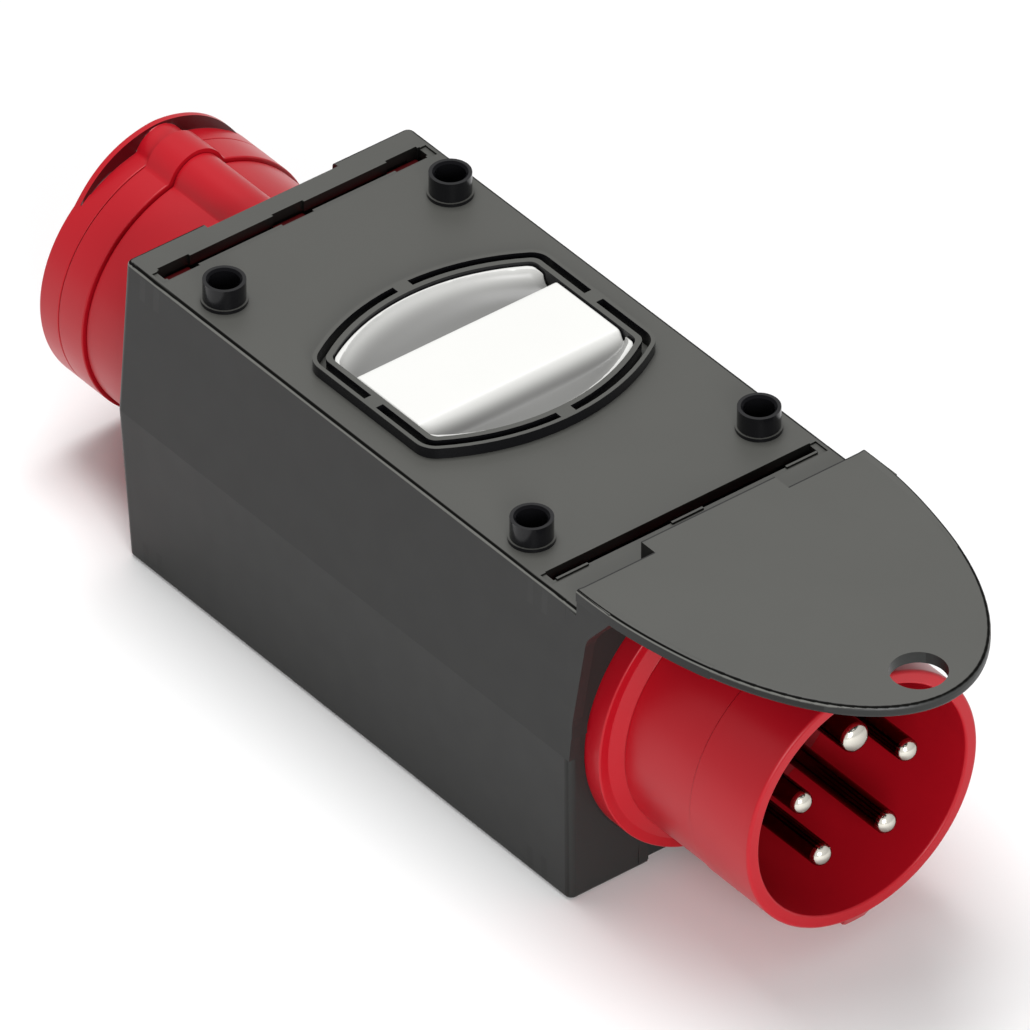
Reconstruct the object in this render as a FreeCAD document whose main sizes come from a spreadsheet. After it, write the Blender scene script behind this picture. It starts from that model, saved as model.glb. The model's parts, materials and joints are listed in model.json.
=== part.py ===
import FreeCAD, Part
import math
import os
import re
import Sketcher

# Industrial plug adapter: a five-pin plug at the front, a smaller five-pole coupler with a
# sprung lid at the back, and a pull-out fuse carrier in the top of a two-shell housing.
# X runs along the plug axis (plug towards +X), Z is up, z = 0 is the face it stands on.

V = FreeCAD.Vector
os.makedirs("parts", exist_ok=True)
doc = FreeCAD.newDocument("plug_adapter")
sheet = doc.addObject("Spreadsheet::Sheet", "sizes")

# Driving sizes in millimetres and degrees
SIZES = [
    ("housing_length", 178.5), ("housing_width", 92.0), ("housing_height", 90.6),
    ("parting_height", 45.1), ("draft", 2.3), ("wall", 3.0), ("edge_round", 1.2),
    ("corner_round", 2.0), ("fit_gap", 0.3), ("slide_gap", 0.1), ("pin_fit", 0.05),
    ("rear_reach", 44.2), ("front_reach", 86.6), ("rear_wall", 7.0), ("recess_depth", 4.0),
    ("recess_half", 20.2),
    # Slots over the two flange plates
    ("slot_width", 3.3), ("slot_half", 40.7), ("slot_rear_in", 11.85), ("slot_front_in", 14.35),
    ("slot_window_width", 4.7), ("slot_window_length", 9.6), ("slot_window_out", 35.3),
    ("ledge_width", 1.7), ("ledge_depth", 0.6), ("plate_lug_drop", 1.8), ("rail_thick", 2.2),
    ("rail_depth", 4.0),
    # Screw towers
    ("boss_rear_in", 29.8), ("boss_front_in", 28.3), ("boss_out", 35.0), ("boss_height", 6.6),
    ("boss_radius", 5.4), ("boss_collar", 0.5), ("boss_collar_height", 1.0),
    ("access_radius", 3.9), ("mouth_chamfer", 0.6), ("tower_radius", 5.2),
    ("screw_seat", 8.0), ("screw_head_radius", 3.5), ("screw_head_height", 2.8),
    ("screw_radius", 2.0), ("screw_reach", 22.0), ("screw_slot", 0.9),
    # Window in the roof
    ("window_in", 87.4), ("window_half_x", 34.15), ("window_half_y", 36.2),
    ("window_bulge_radius", 62.0), ("window_corner", 6.5), ("rim_height", 3.1),
    ("rim_outer_wall", 1.1), ("rim_groove", 2.2), ("rim_inner_wall", 1.5), ("rim_rib", 4.5),
    ("groove_depth", 4.2),
    # Hood over the plug and the hanging tab
    ("hood_height", 6.4), ("hood_back", 0.7), ("hood_draft", 2.0), ("hood_mid_in", 12.6),
    ("hood_mid_out", 0.8), ("hood_top_in", 39.1), ("hood_top_out", 4.8),
    ("hood_lip_out", 13.0), ("hood_inner_round", 7.0), ("tongue_back", 4.5),
    ("tongue_half", 20.5), ("tab_thick", 3.2), ("tab_edge", 1.0), ("tab_hole_radius", 7.2),
    ("tab_hole_in", 11.2), ("tab_start", 3.4),
    # Plug
    ("plug_reach", 55.3), ("plug_radius", 35.5), ("plug_bore", 31.9), ("plug_seam_at", 33.0),
    ("plug_seam_step", 0.3), ("plug_sleeve_back", 22.5), ("plug_sleeve_radius", 34.0),
    ("plug_sleeve_bore", 27.0), ("plug_seat_back", 15.0), ("flange_radius", 41.0),
    ("flange_back", 5.0), ("flange_proud", 5.5), ("flange_root", 2.0), ("key_half", 4.0),
    ("key_height", 3.0), ("key_setback", 1.5), ("pin_block_depth", 46.3),
    ("pin_circle_radius", 17.06), ("pin_radius", 3.0), ("earth_pin_radius", 4.0),
    ("pin_root_extra", 0.5), ("pin_setback", 1.3), ("pin_dome_share", 0.55),
    ("terminal_radius", 5.0), ("terminal_length", 12.0), ("wire_hole_depth", 8.0),
    ("clamp_radius", 1.7), ("clamp_length", 4.2),
    # Coupler
    ("coupler_radius", 35.0), ("coupler_bore", 31.0), ("spigot_radius", 33.0),
    ("spigot_length", 12.4), ("coupler_out", 26.7), ("coupler_sleeve_back", 20.0),
    ("coupler_sleeve_bore", 27.0), ("coupler_seat_back", 7.5), ("collar_radius", 36.0),
    ("collar_length", 9.7), ("ridge_radius", 7.2), ("ridge_centre", 33.0),
    ("collar_ridge_step", 0.5), ("keyway_half", 4.4), ("keyway_top", 36.4),
    ("contact_circle_radius", 15.5), ("contact_block_radius", 26.6), ("contact_block_front", 38.1),
    ("contact_flange_front", 0.5), ("contact_bore", 2.6), ("contact_wall", 1.1),
    ("earth_extra", 0.5), ("contact_recess", 1.5), ("contact_depth", 34.0),
    ("contact_slit", 0.8), ("contact_slit_length", 16.0),
    # Lid, its hinge and spring
    ("lid_gap", 0.2), ("skirt_wall", 2.6), ("lid_thick", 2.5), ("lip_out", 2.4),
    ("lip_thick", 2.0), ("lip_half_angle", 40.0), ("scoop_floor", 34.6), ("scoop_from", 8.4),
    ("scoop_to", 22.5), ("scoop_share", 0.7857), ("gasket_width", 2.7), ("hinge_back", 1.1),
    ("hinge_drop", 3.7), ("hinge_radius", 3.2), ("hinge_pin_radius", 1.5),
    ("knuckle_in", 3.9), ("knuckle_out", 7.0), ("lug_out", 10.2), ("spring_wire", 0.4),
    ("spring_radius", 2.5), ("spring_turns", 5.0), ("spring_pitch", 1.2),
    # Seal rings
    ("seal_section", 0.95), ("seal_groove_width", 2.2),
    # Fuse base and carrier
    ("carrier_offset", 1.6), ("base_half_x", 31.0), ("base_half_y", 33.8), ("base_wall", 2.5),
    ("base_floor_top", 43.5), ("base_floor_thick", 3.0), ("fuse_height", 58.0),
    ("fuse_radius", 5.15), ("fuse_length", 38.0), ("fuse_cap", 9.5), ("fuse_cap_step", 0.15),
    ("fuse_spacing", 18.0), ("clip_thick", 1.0), ("clip_width", 8.0), ("clip_out", 14.0),
    ("clip_rise", 6.0), ("clip_neck", 4.6), ("crimp_radius", 3.2), ("crimp_length", 9.0),
    ("crimp_start", 18.5), ("crimp_height", 48.0), ("grip_half_x", 27.6), ("grip_half_y", 31.0),
    ("grip_top_drop", 0.3), ("bar_half", 12.2), ("bar_foot", 15.4), ("scoop_depth", 6.0),
    ("scoop_bend_out", 19.5), ("scoop_bend_rise", 1.0), ("scoop_bend_round", 9.6),
    ("grip_rim_drop", 0.6), ("grip_rim_width", 1.2), ("grip_depth", 9.0),
    ("grip_skirt_half", 14.0), ("grip_skirt_thick", 2.0), ("saddle_half_x", 8.0),
    ("saddle_half_y", 27.5), ("saddle_drop", 3.4), ("saddle_gate", 4.4),
    # Inner wiring
    ("wire_radius", 2.0), ("wire_bend", 8.0), ("tunnel_height", 36.0), ("neutral_side", 26.0),
    ("earth_side", 4.0), ("lead_straight", 12.0), ("lead_start", 4.0), ("lead_level", 5.6),
    ("lead_dive", 9.6),
]

# Sizes worked out from the driving ones
DERIVED = [
    ("x_rear", "rear_reach - (rear_reach + housing_length + front_reach) / 2"),
    ("x_front", "x_rear + housing_length"),
    ("x_tip", "x_front + front_reach"),
    ("half_width", "housing_width / 2"),
    ("axis_height", "parting_height"),
    ("roof_under", "housing_height - wall"),
    ("plate_thick", "slot_width - 2 * slide_gap"),
    ("plate_half", "slot_half - slide_gap"),
    ("x_slot_rear", "x_rear + slot_rear_in"),
    ("x_slot_front", "x_front - slot_front_in"),
    ("x_boss_rear", "x_rear + boss_rear_in"),
    ("x_boss_front", "x_front - boss_front_in"),
    ("x_window", "x_rear + window_in"),
    ("x_carrier", "x_window + carrier_offset"),
    ("hood_top", "housing_height + hood_height"),
    ("rim_top", "housing_height + rim_height"),
    ("opening_inset", "rim_outer_wall + rim_groove + rim_inner_wall"),
    ("x_seam_b", "x_rear - coupler_out"),
    ("x_spigot_end", "x_seam_b - spigot_length"),
    ("x_lid_end", "x_rear - rear_reach"),
    ("x_skirt", "x_seam_b - collar_length - lid_gap"),
    ("skirt_bore", "collar_radius - skirt_wall"),
    ("x_hinge", "x_skirt + hinge_back"),
    ("z_hinge", "axis_height - collar_radius - hinge_drop"),
    ("base_top", "roof_under - fit_gap"),
    ("base_under", "base_floor_top - base_floor_thick"),
    ("fuse_bed", "fuse_height - fuse_radius - fuse_cap_step - slide_gap"),
    ("grip_top", "rim_top - grip_top_drop"),
    ("wire_hole", "wire_radius + slide_gap"),
    ("seal_groove_depth", "2 * seal_section + 2 * pin_fit - fit_gap"),
]

NOT_CELLS = {"cos", "sin", "tan", "sqrt"}


def bound(text):
    """An expression in words, with each name read from the sheet."""
    def cell(match):
        word = match.group(0)
        return word if word in NOT_CELLS else "sizes." + word
    return re.sub(r"[a-z]\w*", cell, str(text))


def fill_sheet():
    """Name, value and alias of every size, one row each."""
    row = 1
    for name, value in SIZES:
        sheet.set("A%d" % row, name)
        sheet.set("B%d" % row, str(value))
        sheet.setAlias("B%d" % row, name)
        row += 1
    for name, formula in DERIVED:
        sheet.set("A%d" % row, name)
        sheet.set("B%d" % row, "=" + formula)
        sheet.setAlias("B%d" % row, name)
        row += 1
    doc.recompute()


fill_sheet()
VALUES = {name: float(sheet.get(name)) for name, _ in SIZES + DERIVED}


def size(text):
    """The value of an expression over the sheet, in millimetres (angles in degrees)."""
    scope = dict(VALUES)
    tokens = re.findall(r"[a-z]\w*|\d+\.?\d*|[-+*/()]", str(text))
    return reckon(tokens, scope)


def reckon(tokens, scope):
    """Plain arithmetic over names and numbers: sums of products, with brackets and cos, sin."""
    position = [0]

    def peek():
        return tokens[position[0]] if position[0] < len(tokens) else ""

    def take():
        position[0] += 1
        return tokens[position[0] - 1]

    def factor():
        word = take()
        if word == "-":
            return -factor()
        if word == "(":
            value = total()
            take()
            return value
        if word in ("cos", "sin"):
            angle = math.radians(factor())
            return math.cos(angle) if word == "cos" else math.sin(angle)
        if word in scope:
            return scope[word]
        return float(word)

    def product():
        value = factor()
        while peek() in ("*", "/"):
            value = value * factor() if take() == "*" else value / factor()
        return value

    def total():
        value = product()
        while peek() in ("+", "-"):
            value = value + product() if take() == "+" else value - product()
        return value

    return total()


# Turns that lay a solid made along Z onto another axis
ALONG = {
    "z": FreeCAD.Rotation(),
    "x": FreeCAD.Rotation(V(0, 1, 0), 90),
    "y": FreeCAD.Rotation(V(1, 0, 0), -90),
}


def put(thing, x, y, z, turn=None):
    """Place an object, its base point tied to the sheet."""
    thing.Placement = FreeCAD.Placement(V(size(x), size(y), size(z)), turn or ALONG["z"])
    for letter, text in zip("xyz", (x, y, z)):
        thing.setExpression("Placement.Base." + letter, bound(text))
    return thing


def bind(thing, **properties):
    for name, text in properties.items():
        thing.setExpression(name, bound(text))
    return thing


def box(name, x, y, z, length, width, height):
    """A box by its low corner and its three sides."""
    block = doc.addObject("Part::Box", name)
    bind(block, Length=length, Width=width, Height=height)
    return put(block, x, y, z)


def wide_box(name, x, half, z, length, height):
    """A box that reaches as far to each side of the middle."""
    return box(name, x, "-(%s)" % half, z, length, "2 * (%s)" % half, height)


def rod(name, radius, length, x, y, z, along="z"):
    """A cylinder from a point, along an axis."""
    round_bar = doc.addObject("Part::Cylinder", name)
    bind(round_bar, Radius=radius, Height=length)
    return put(round_bar, x, y, z, ALONG[along])


def fuse(name, pieces):
    joined = doc.addObject("Part::MultiFuse", name)
    joined.Shapes = pieces
    joined.Refine = True
    return joined


def cut(name, base, tools):
    """The base less one tool or a list of tools."""
    tool = tools
    if isinstance(tools, list):
        tool = tools[0] if len(tools) == 1 else fuse(name + "_tools", tools)
    result = doc.addObject("Part::Cut", name)
    result.Base = base
    result.Tool = tool
    result.Refine = True
    return result


def common(name, first, second):
    result = doc.addObject("Part::Common", name)
    result.Base = first
    result.Tool = second
    return result


def solid(name, shape):
    """A piece whose form no feature fits, made by Part functions from the sheet's values."""
    thing = doc.addObject("Part::Feature", name)
    thing.Shape = shape
    return thing


def rounded(name, base, radius, wanted):
    """Round the edges of an object that the test picks out."""
    doc.recompute()
    result = doc.addObject("Part::Fillet", name)
    result.Base = base
    value = size(radius)
    result.Edges = [(number, value, value)
                    for number, edge in enumerate(base.Shape.Edges, 1) if wanted(edge)]
    return result


def body(name, x="0", y="0", z="0", turn=None):
    return put(doc.addObject("PartDesign::Body", name), x, y, z, turn)


def sketch(owner, role, name):
    """A sketch on one of the body's own planes."""
    drawing = owner.newObject("Sketcher::SketchObject", name)
    plane = [item for item in owner.Origin.OriginFeatures if item.Role == role][0]
    drawing.AttachmentSupport = [(plane, "")]
    drawing.MapMode = "FlatFace"
    return drawing


def tie(drawing, kind, *where):
    """A sketch distance tied to the sheet; the last item is its expression."""
    text = where[-1]
    index = drawing.addConstraint(Sketcher.Constraint(kind, *where[:-1], size(text)))
    drawing.setExpression("Constraints[%d]" % index, bound(text))


def outline(drawing, corners):
    """A closed outline of straight sides, each corner tied to the sheet."""
    first = drawing.GeometryCount
    count = len(corners)
    points = [V(size(x), size(y), 0) for x, y in corners]
    for number in range(count):
        drawing.addGeometry(Part.LineSegment(points[number], points[(number + 1) % count]), False)
    for number in range(count):
        following = first + (number + 1) % count
        drawing.addConstraint(Sketcher.Constraint("Coincident", first + number, 2, following, 1))
    for number, (x, y) in enumerate(corners):
        tie(drawing, "DistanceX", -1, 1, first + number, 1, x)
        tie(drawing, "DistanceY", -1, 1, first + number, 1, y)


def pad(owner, drawing, name, length, taper=None, midplane=False):
    feature = owner.newObject("PartDesign::Pad", name)
    feature.Profile = drawing
    feature.Midplane = midplane
    bind(feature, Length=length)
    if taper:
        bind(feature, TaperAngle=taper)
    return feature


def pocket(owner, drawing, name, length, taper=None, upwards=True):
    feature = owner.newObject("PartDesign::Pocket", name)
    feature.Profile = drawing
    feature.Reversed = upwards
    bind(feature, Length=length)
    if taper:
        bind(feature, TaperAngle=taper)
    return feature


def turned(name, corners, x, y="0", z="axis_height", turn=None):
    """A turned piece: its half section spun about the body's own X axis."""
    owner = body(name, x, y, z, turn)
    drawing = sketch(owner, "XZ_Plane", name + "_section")
    outline(drawing, corners)
    feature = owner.newObject("PartDesign::Revolution", name + "_spin")
    feature.Profile = drawing
    feature.ReferenceAxis = (drawing, ["H_Axis"])
    feature.Angle = 360
    return owner


def round_edges(owner, name, radius, wanted):
    """A fillet inside a body, on the edges that the test picks out."""
    doc.recompute()
    base = owner.Tip
    names = ["Edge%d" % number for number, edge in enumerate(base.Shape.Edges, 1) if wanted(edge)]
    feature = owner.newObject("PartDesign::Fillet", name)
    feature.Base = (base, names)
    bind(feature, Radius=radius)
    return feature


def ring_at(x, radius):
    """Test for a round edge of this radius in the plane at x, in the body's frame."""
    def wanted(edge):
        curve = edge.Curve
        if not isinstance(curve, Part.Circle):
            return False
        return abs(curve.Radius - radius) < 0.01 and abs(edge.CenterOfMass.x - x) < 0.01
    return wanted


def near(first, second):
    return abs(first - second) < 0.02


# The two drafted shells, each drawn on the parting plane and raised away from it
def shell_box(name, rise, turn):
    owner = body(name, "0", "0", "parting_height", turn)
    plan = sketch(owner, "XY_Plane", name + "_plan")
    outline(plan, [("x_rear", "-half_width"), ("x_front", "-half_width"),
                   ("x_front", "half_width"), ("x_rear", "half_width")])
    pad(owner, plan, name + "_block", rise, "-draft")
    round_edges(owner, name + "_corners", "corner_round",
                lambda edge: edge.Length > size("wall") * 2
                and near(edge.BoundBox.ZMin, 0) and edge.BoundBox.ZMax > size("wall"))
    top = size(rise)
    round_edges(owner, name + "_brow", "edge_round",
                lambda edge: near(edge.BoundBox.ZMin, top) and near(edge.BoundBox.ZMax, top))
    hollow = sketch(owner, "XY_Plane", name + "_hollow_plan")
    outline(hollow, [("x_rear + rear_wall", "wall - half_width"),
                     ("x_front - wall", "wall - half_width"),
                     ("x_front - wall", "half_width - wall"),
                     ("x_rear + rear_wall", "half_width - wall")])
    pocket(owner, hollow, name + "_hollow", "%s - wall" % rise, "-draft")
    return owner


BOSS_SPOTS = [(along, side) for along in ("x_boss_rear", "x_boss_front")
              for side in ("-boss_out", "boss_out")]


def bulged_outline(inset):
    """The window's plan: two straight sides, two bulged ends, all corners rounded.

    The bulged ends keep one centre, so an inset moves every wall in by the same amount.
    """
    half_x = size("window_half_x") - inset
    half_y = size("window_half_y") - inset
    bulge = size("window_bulge_radius") - inset
    centre = half_x - bulge
    corner_x = centre + math.sqrt(bulge ** 2 - half_y ** 2)
    left = Part.Arc(V(-corner_x, half_y, 0), V(-half_x, 0, 0), V(-corner_x, -half_y, 0))
    right = Part.Arc(V(corner_x, -half_y, 0), V(half_x, 0, 0), V(corner_x, half_y, 0))
    bottom = Part.LineSegment(V(-corner_x, -half_y, 0), V(corner_x, -half_y, 0))
    top = Part.LineSegment(V(corner_x, half_y, 0), V(-corner_x, half_y, 0))
    return Part.Wire([curve.toShape() for curve in (left, bottom, right, top)])


def bulged_block(name, inset, low, high):
    """A block of the window's plan, from one height to another, its upright edges rounded."""
    start = size(low)
    rise = size(high) - start
    block = Part.Face(bulged_outline(size(inset))).extrude(V(0, 0, rise))
    upright = [edge for edge in block.Edges
               if near(edge.BoundBox.ZLength, rise) and edge.BoundBox.XLength < 0.01]
    block = block.makeFillet(max(size("window_corner") - size(inset), size("wall")), upright)
    thing = solid(name, block)
    thing.Placement.Base = V(size("x_window"), 0, start)
    return thing


def hood():
    """Side view of the hood cut with its front view, hollow inside."""
    side = body("hood_side")
    view = sketch(side, "XZ_Plane", "hood_side_view")
    outline(view, [
        ("x_front - wall", "parting_height"), ("x_front", "parting_height"),
        ("x_front + hood_mid_out", "parting_height + hood_mid_in"),
        ("x_front + hood_top_out", "parting_height + hood_top_in"),
        ("x_front + hood_lip_out", "hood_top - tab_thick"),
        ("x_front + hood_lip_out", "hood_top"), ("x_front + hood_back", "hood_top"),
        ("x_front + hood_back", "housing_height - wall / 2"),
        ("x_front - wall", "housing_height - wall / 2")])
    pad(side, view, "hood_side_pad", "housing_width", midplane=True)
    brow = (size("x_front + hood_top_out"), size("parting_height + hood_top_in"))
    round_edges(side, "hood_brow", "hood_inner_round",
                lambda edge: near(edge.BoundBox.XMin, brow[0]) and near(edge.BoundBox.XMax, brow[0])
                and near(edge.BoundBox.ZMin, brow[1]))
    front = drafted_prism("hood_front", "half_width", "hood_draft", "hood_top - parting_height",
                          "x_front - wall", "hood_lip_out + 2 * wall")
    cavity = drafted_prism("hood_cavity", "half_width - wall", "hood_draft",
                           "roof_under - parting_height", "x_front", "hood_lip_out + wall")
    ceiling = size("roof_under")
    cavity = rounded("hood_cavity_round", cavity, "hood_inner_round",
                     lambda edge: near(edge.BoundBox.ZMin, ceiling)
                     and near(edge.BoundBox.ZMax, ceiling) and near(edge.BoundBox.YLength, 0))
    return common("hood_block", side, front), cavity


def drafted_prism(name, half, draft, rise, x, length):
    """A prism along X, wide at the parting plane and drafted inwards above it."""
    lean = "(%s) * sin(%s) / cos(%s)" % (rise, draft, draft)
    owner = body(name, x, "0", "parting_height")
    view = sketch(owner, "YZ_Plane", name + "_view")
    outline(view, [("-(%s)" % half, "0"), (half, "0"), ("%s - %s" % (half, lean), rise),
                   ("%s - (%s)" % (lean, half), rise)])
    pad(owner, view, name + "_pad", length)
    return owner


def tab_plate():
    """Half of an ellipse from the hood to the tip, with its edges rounded."""
    start = size("x_front + tab_start")
    reach = size("x_tip") - start
    half = size("half_width") - size("hood_top - parting_height") * math.tan(
        math.radians(size("hood_draft")))
    low = size("hood_top - tab_thick")
    if reach > half:
        curve = Part.Ellipse(V(start, 0, low), reach, half)
        arc = Part.ArcOfEllipse(curve, -math.pi / 2, math.pi / 2)
    else:
        curve = Part.Ellipse(V(start, half, low), V(start + reach, 0, low), V(start, 0, low))
        arc = Part.ArcOfEllipse(curve, math.pi, 2 * math.pi)
    end = size("x_front + hood_back")
    first = V(start, -half, low)
    last = V(start, half, low)
    edges = [arc.toShape(), Part.LineSegment(last, V(end, half, low)).toShape(),
             Part.LineSegment(V(end, half, low), V(end, -half, low)).toShape(),
             Part.LineSegment(V(end, -half, low), first).toShape()]
    plate = Part.Face(Part.Wire(Part.__sortEdges__(edges))).extrude(V(0, 0, size("tab_thick")))
    front = [edge for edge in plate.Edges
             if edge.BoundBox.XMax > start + 1 and edge.BoundBox.ZLength < 0.01]
    plate = plate.makeFillet(size("tab_edge"), front)
    return solid("tab_blank", plate)


def slot_tools(name, x):
    """Slot through the roof with its three wider windows and the shallow ledge beside it."""
    tools = [wide_box(name + "_slot", "%s - slot_width / 2" % x, "slot_half",
                      "roof_under - wall", "slot_width", "3 * wall")]
    for number, place in enumerate(("-slot_window_out", "0", "slot_window_out")):
        tools.append(box("%s_window_%d" % (name, number), "%s - slot_window_width / 2" % x,
                         "%s - slot_window_length / 2" % place, "roof_under - wall",
                         "slot_window_width", "slot_window_length", "3 * wall"))
    start = "%s + slot_width / 2 - wall" % x
    tools.append(wide_box(name + "_ledge", start, "slot_half + ledge_width",
                          "housing_height - ledge_depth", "wall + ledge_width", "wall"))
    return tools


def plate_rails(name, low, high):
    """Pairs of upright rails on both side walls that hold the flange plates."""
    rails = []
    for slot in ("x_slot_rear", "x_slot_front"):
        for number, start in enumerate(("- slot_width / 2 - rail_thick", "+ slot_width / 2")):
            for side, y in (("left", "-(half_width - wall / 2)"),
                            ("right", "half_width - wall / 2 - rail_depth - wall")):
                rails.append(box("%s_rail_%s_%d_%s" % (name, slot, number, side),
                                 "%s %s" % (slot, start), y, low, "rail_thick",
                                 "rail_depth + wall", "%s - (%s)" % (high, low)))
    return rails


def end_openings(name):
    """What passes both end walls: the plug flange, the coupler barrel, and the rear recess."""
    return [
        rod(name + "_plug_hole", "flange_radius + fit_gap", "wall * 3", "x_front - 2 * wall", "0",
            "axis_height", "x"),
        rod(name + "_coupler_hole", "coupler_radius + fit_gap", "rear_wall + 2 * wall",
            "x_rear - wall", "0", "axis_height", "x"),
        wide_box(name + "_rear_recess", "x_rear - wall", "recess_half", "-wall",
                 "wall + recess_depth", "housing_height + 2 * wall"),
    ]


def upper_shell():
    shell = shell_box("upper_box", "(housing_height - parting_height)", None)
    block, cavity = hood()
    towers = []
    access = []
    for number, (x, y) in enumerate(BOSS_SPOTS):
        towers.append(rod("upper_tower_%d" % number, "tower_radius",
                          "roof_under - parting_height + wall / 2", x, y, "parting_height"))
        towers.append(rod("boss_%d" % number, "boss_radius", "boss_height + wall / 2", x, y,
                          "housing_height - wall / 2"))
        towers.append(rod("boss_collar_%d" % number, "boss_radius + boss_collar",
                          "boss_collar_height + wall / 2", x, y, "housing_height - wall / 2"))
        access.append(rod("access_%d" % number, "access_radius", "housing_height", x, y,
                          "parting_height + screw_seat"))
        access.append(rod("upper_screw_hole_%d" % number, "screw_radius + slide_gap",
                          "2 * screw_seat", x, y, "parting_height - wall"))
        mouth = doc.addObject("Part::Cone", "mouth_%d" % number)
        bind(mouth, Radius1="access_radius", Radius2="access_radius + 2 * mouth_chamfer",
             Height="2 * mouth_chamfer")
        access.append(put(mouth, x, y, "housing_height + boss_height - mouth_chamfer"))
    rim = bulged_block("rim_block", "0", "housing_height - wall / 2", "rim_top")
    groove_outer = bulged_block("groove_outer", "rim_outer_wall", "rim_top - groove_depth",
                                "rim_top + wall")
    groove_inner = bulged_block("groove_inner", "rim_outer_wall + rim_groove",
                                "rim_top - groove_depth - wall", "rim_top + 2 * wall")
    rib_x = wide_box("rim_rib_x", "x_window - window_half_x", "rim_rib / 2", "roof_under",
                     "2 * window_half_x", "3 * wall")
    rib_y = wide_box("rim_rib_y", "x_window - rim_rib / 2", "window_half_y", "roof_under",
                     "rim_rib", "3 * wall")
    groove = cut("groove_ring", groove_outer, [groove_inner, rib_x, rib_y])
    opening = bulged_block("window_opening", "opening_inset", "roof_under - wall",
                           "rim_top + wall")
    tongue = wide_box("hood_tongue", "x_front - tongue_back", "tongue_half",
                      "housing_height - wall / 2", "tongue_back + hood_back + wall",
                      "hood_height + wall / 2")
    hole = rod("tab_hole", "tab_hole_radius", "3 * tab_thick", "x_tip - tab_hole_in", "0",
               "hood_top - 2 * tab_thick")
    solid_parts = [shell, block, tab_plate(), tongue, rim] + towers
    solid_parts += plate_rails("upper", "parting_height", "roof_under + wall / 2")
    whole = fuse("upper_whole", solid_parts)
    tools = [cavity, groove, opening, hole] + access + end_openings("upper")
    tools += slot_tools("rear", "x_slot_rear")
    tools += slot_tools("front", "x_slot_front")
    return cut("upper_shell", whole, tools)


def lower_shell():
    shell = shell_box("lower_box", "parting_height", FreeCAD.Rotation(V(1, 0, 0), 180))
    posts = []
    holes = []
    for number, (x, y) in enumerate(BOSS_SPOTS):
        posts.append(rod("lower_tower_%d" % number, "tower_radius", "parting_height - wall / 2",
                         x, y, "wall / 2"))
        holes.append(rod("lower_screw_hole_%d" % number, "screw_radius + pin_fit",
                         "screw_reach + 2 * wall", x, y,
                         "parting_height - screw_reach - wall"))
    backing = wide_box("front_backing", "x_front - recess_depth - wall", "recess_half + wall",
                       "wall / 2", "recess_depth + wall / 2", "parting_height - 2 * wall")
    whole = fuse("lower_whole", [shell, backing] + posts
                 + plate_rails("lower", "wall / 2", "parting_height"))
    notch = wide_box("front_recess", "x_front - recess_depth", "recess_half", "-wall",
                     "recess_depth + wall", "parting_height - wall")
    tools = holes + end_openings("lower") + [notch]
    tools.append(rod("front_backing_hole", "flange_radius + fit_gap", "3 * wall + recess_depth",
                     "x_front - recess_depth - 2 * wall", "0", "axis_height", "x"))
    return cut("lower_shell", whole, tools)


def flange_plate(name, slot, ring_radius):
    """The upright plate that sits in a slot of both shells, with three lugs under the windows."""
    plate = wide_box(name + "_plate", "%s - plate_thick / 2" % slot, "plate_half", "wall",
                     "plate_thick", "base_top - wall")
    pieces = [plate]
    for number, place in enumerate(("-slot_window_out", "0", "slot_window_out")):
        pieces.append(box("%s_lug_%d" % (name, number),
                          "%s - slot_window_width / 2 + slide_gap" % slot,
                          "%s - slot_window_length / 2 + slide_gap" % place,
                          "base_top - plate_lug_drop", "slot_window_width - 2 * slide_gap",
                          "slot_window_length - 2 * slide_gap",
                          "housing_height - base_top"))
    whole = fuse(name + "_plate_whole", pieces)
    clear = rod(name + "_plate_bore", "%s - wall / 2" % ring_radius, "4 * wall",
                "%s - 2 * wall" % slot, "0", "axis_height", "x")
    return cut(name + "_plate_ring", whole, clear)


def plug_shroud():
    """The plug's one-piece shroud: sleeve, flange with a seal groove, barrel and inner seat."""
    groove = "(wall / 2 + seal_groove_width / 2)"
    barrel = "plug_radius - plug_seam_step"
    tube = turned("plug_tube", [
        ("-plug_sleeve_back", "plug_sleeve_bore"), ("-plug_sleeve_back", "plug_sleeve_radius"),
        ("-flange_back", "plug_sleeve_radius"), ("-flange_back", "flange_radius"),
        ("-" + groove, "flange_radius"), ("-" + groove, "flange_radius - seal_groove_depth"),
        ("seal_groove_width - " + groove, "flange_radius - seal_groove_depth"),
        ("seal_groove_width - " + groove, "flange_radius"), ("flange_proud", "flange_radius"),
        ("flange_proud", barrel), ("plug_seam_at", barrel), ("plug_seam_at", "plug_radius"),
        ("plug_reach", "plug_radius"), ("plug_reach", "plug_bore"),
        ("-plug_seat_back", "plug_bore"), ("-plug_seat_back", "plug_sleeve_bore")], "x_front")
    proud = size("flange_proud")
    round_edges(tube, "flange_foot", "flange_root", ring_at(proud, size(barrel)))
    round_edges(tube, "flange_brow", "mouth_chamfer", ring_at(proud, size("flange_radius")))
    reach = size("plug_reach")
    round_edges(tube, "plug_rim_outer", "edge_round", ring_at(reach, size("plug_radius")))
    round_edges(tube, "plug_rim_inner", "mouth_chamfer", ring_at(reach, size("plug_bore")))
    key = wide_box("plug_key", "x_front + flange_proud - wall / 2", "key_half",
                   "axis_height + plug_radius - wall / 2",
                   "plug_reach - flange_proud - key_setback + wall / 2",
                   "key_height + wall / 2")
    top = size("axis_height + plug_radius + key_height")
    key = rounded("plug_key_round", key, "edge_round",
                  lambda edge: near(edge.BoundBox.ZMin, top) and near(edge.BoundBox.YLength, 0))
    return fuse("plug_shroud",
                [tube, key, flange_plate("plug", "x_slot_front", "plug_sleeve_radius")])


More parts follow.
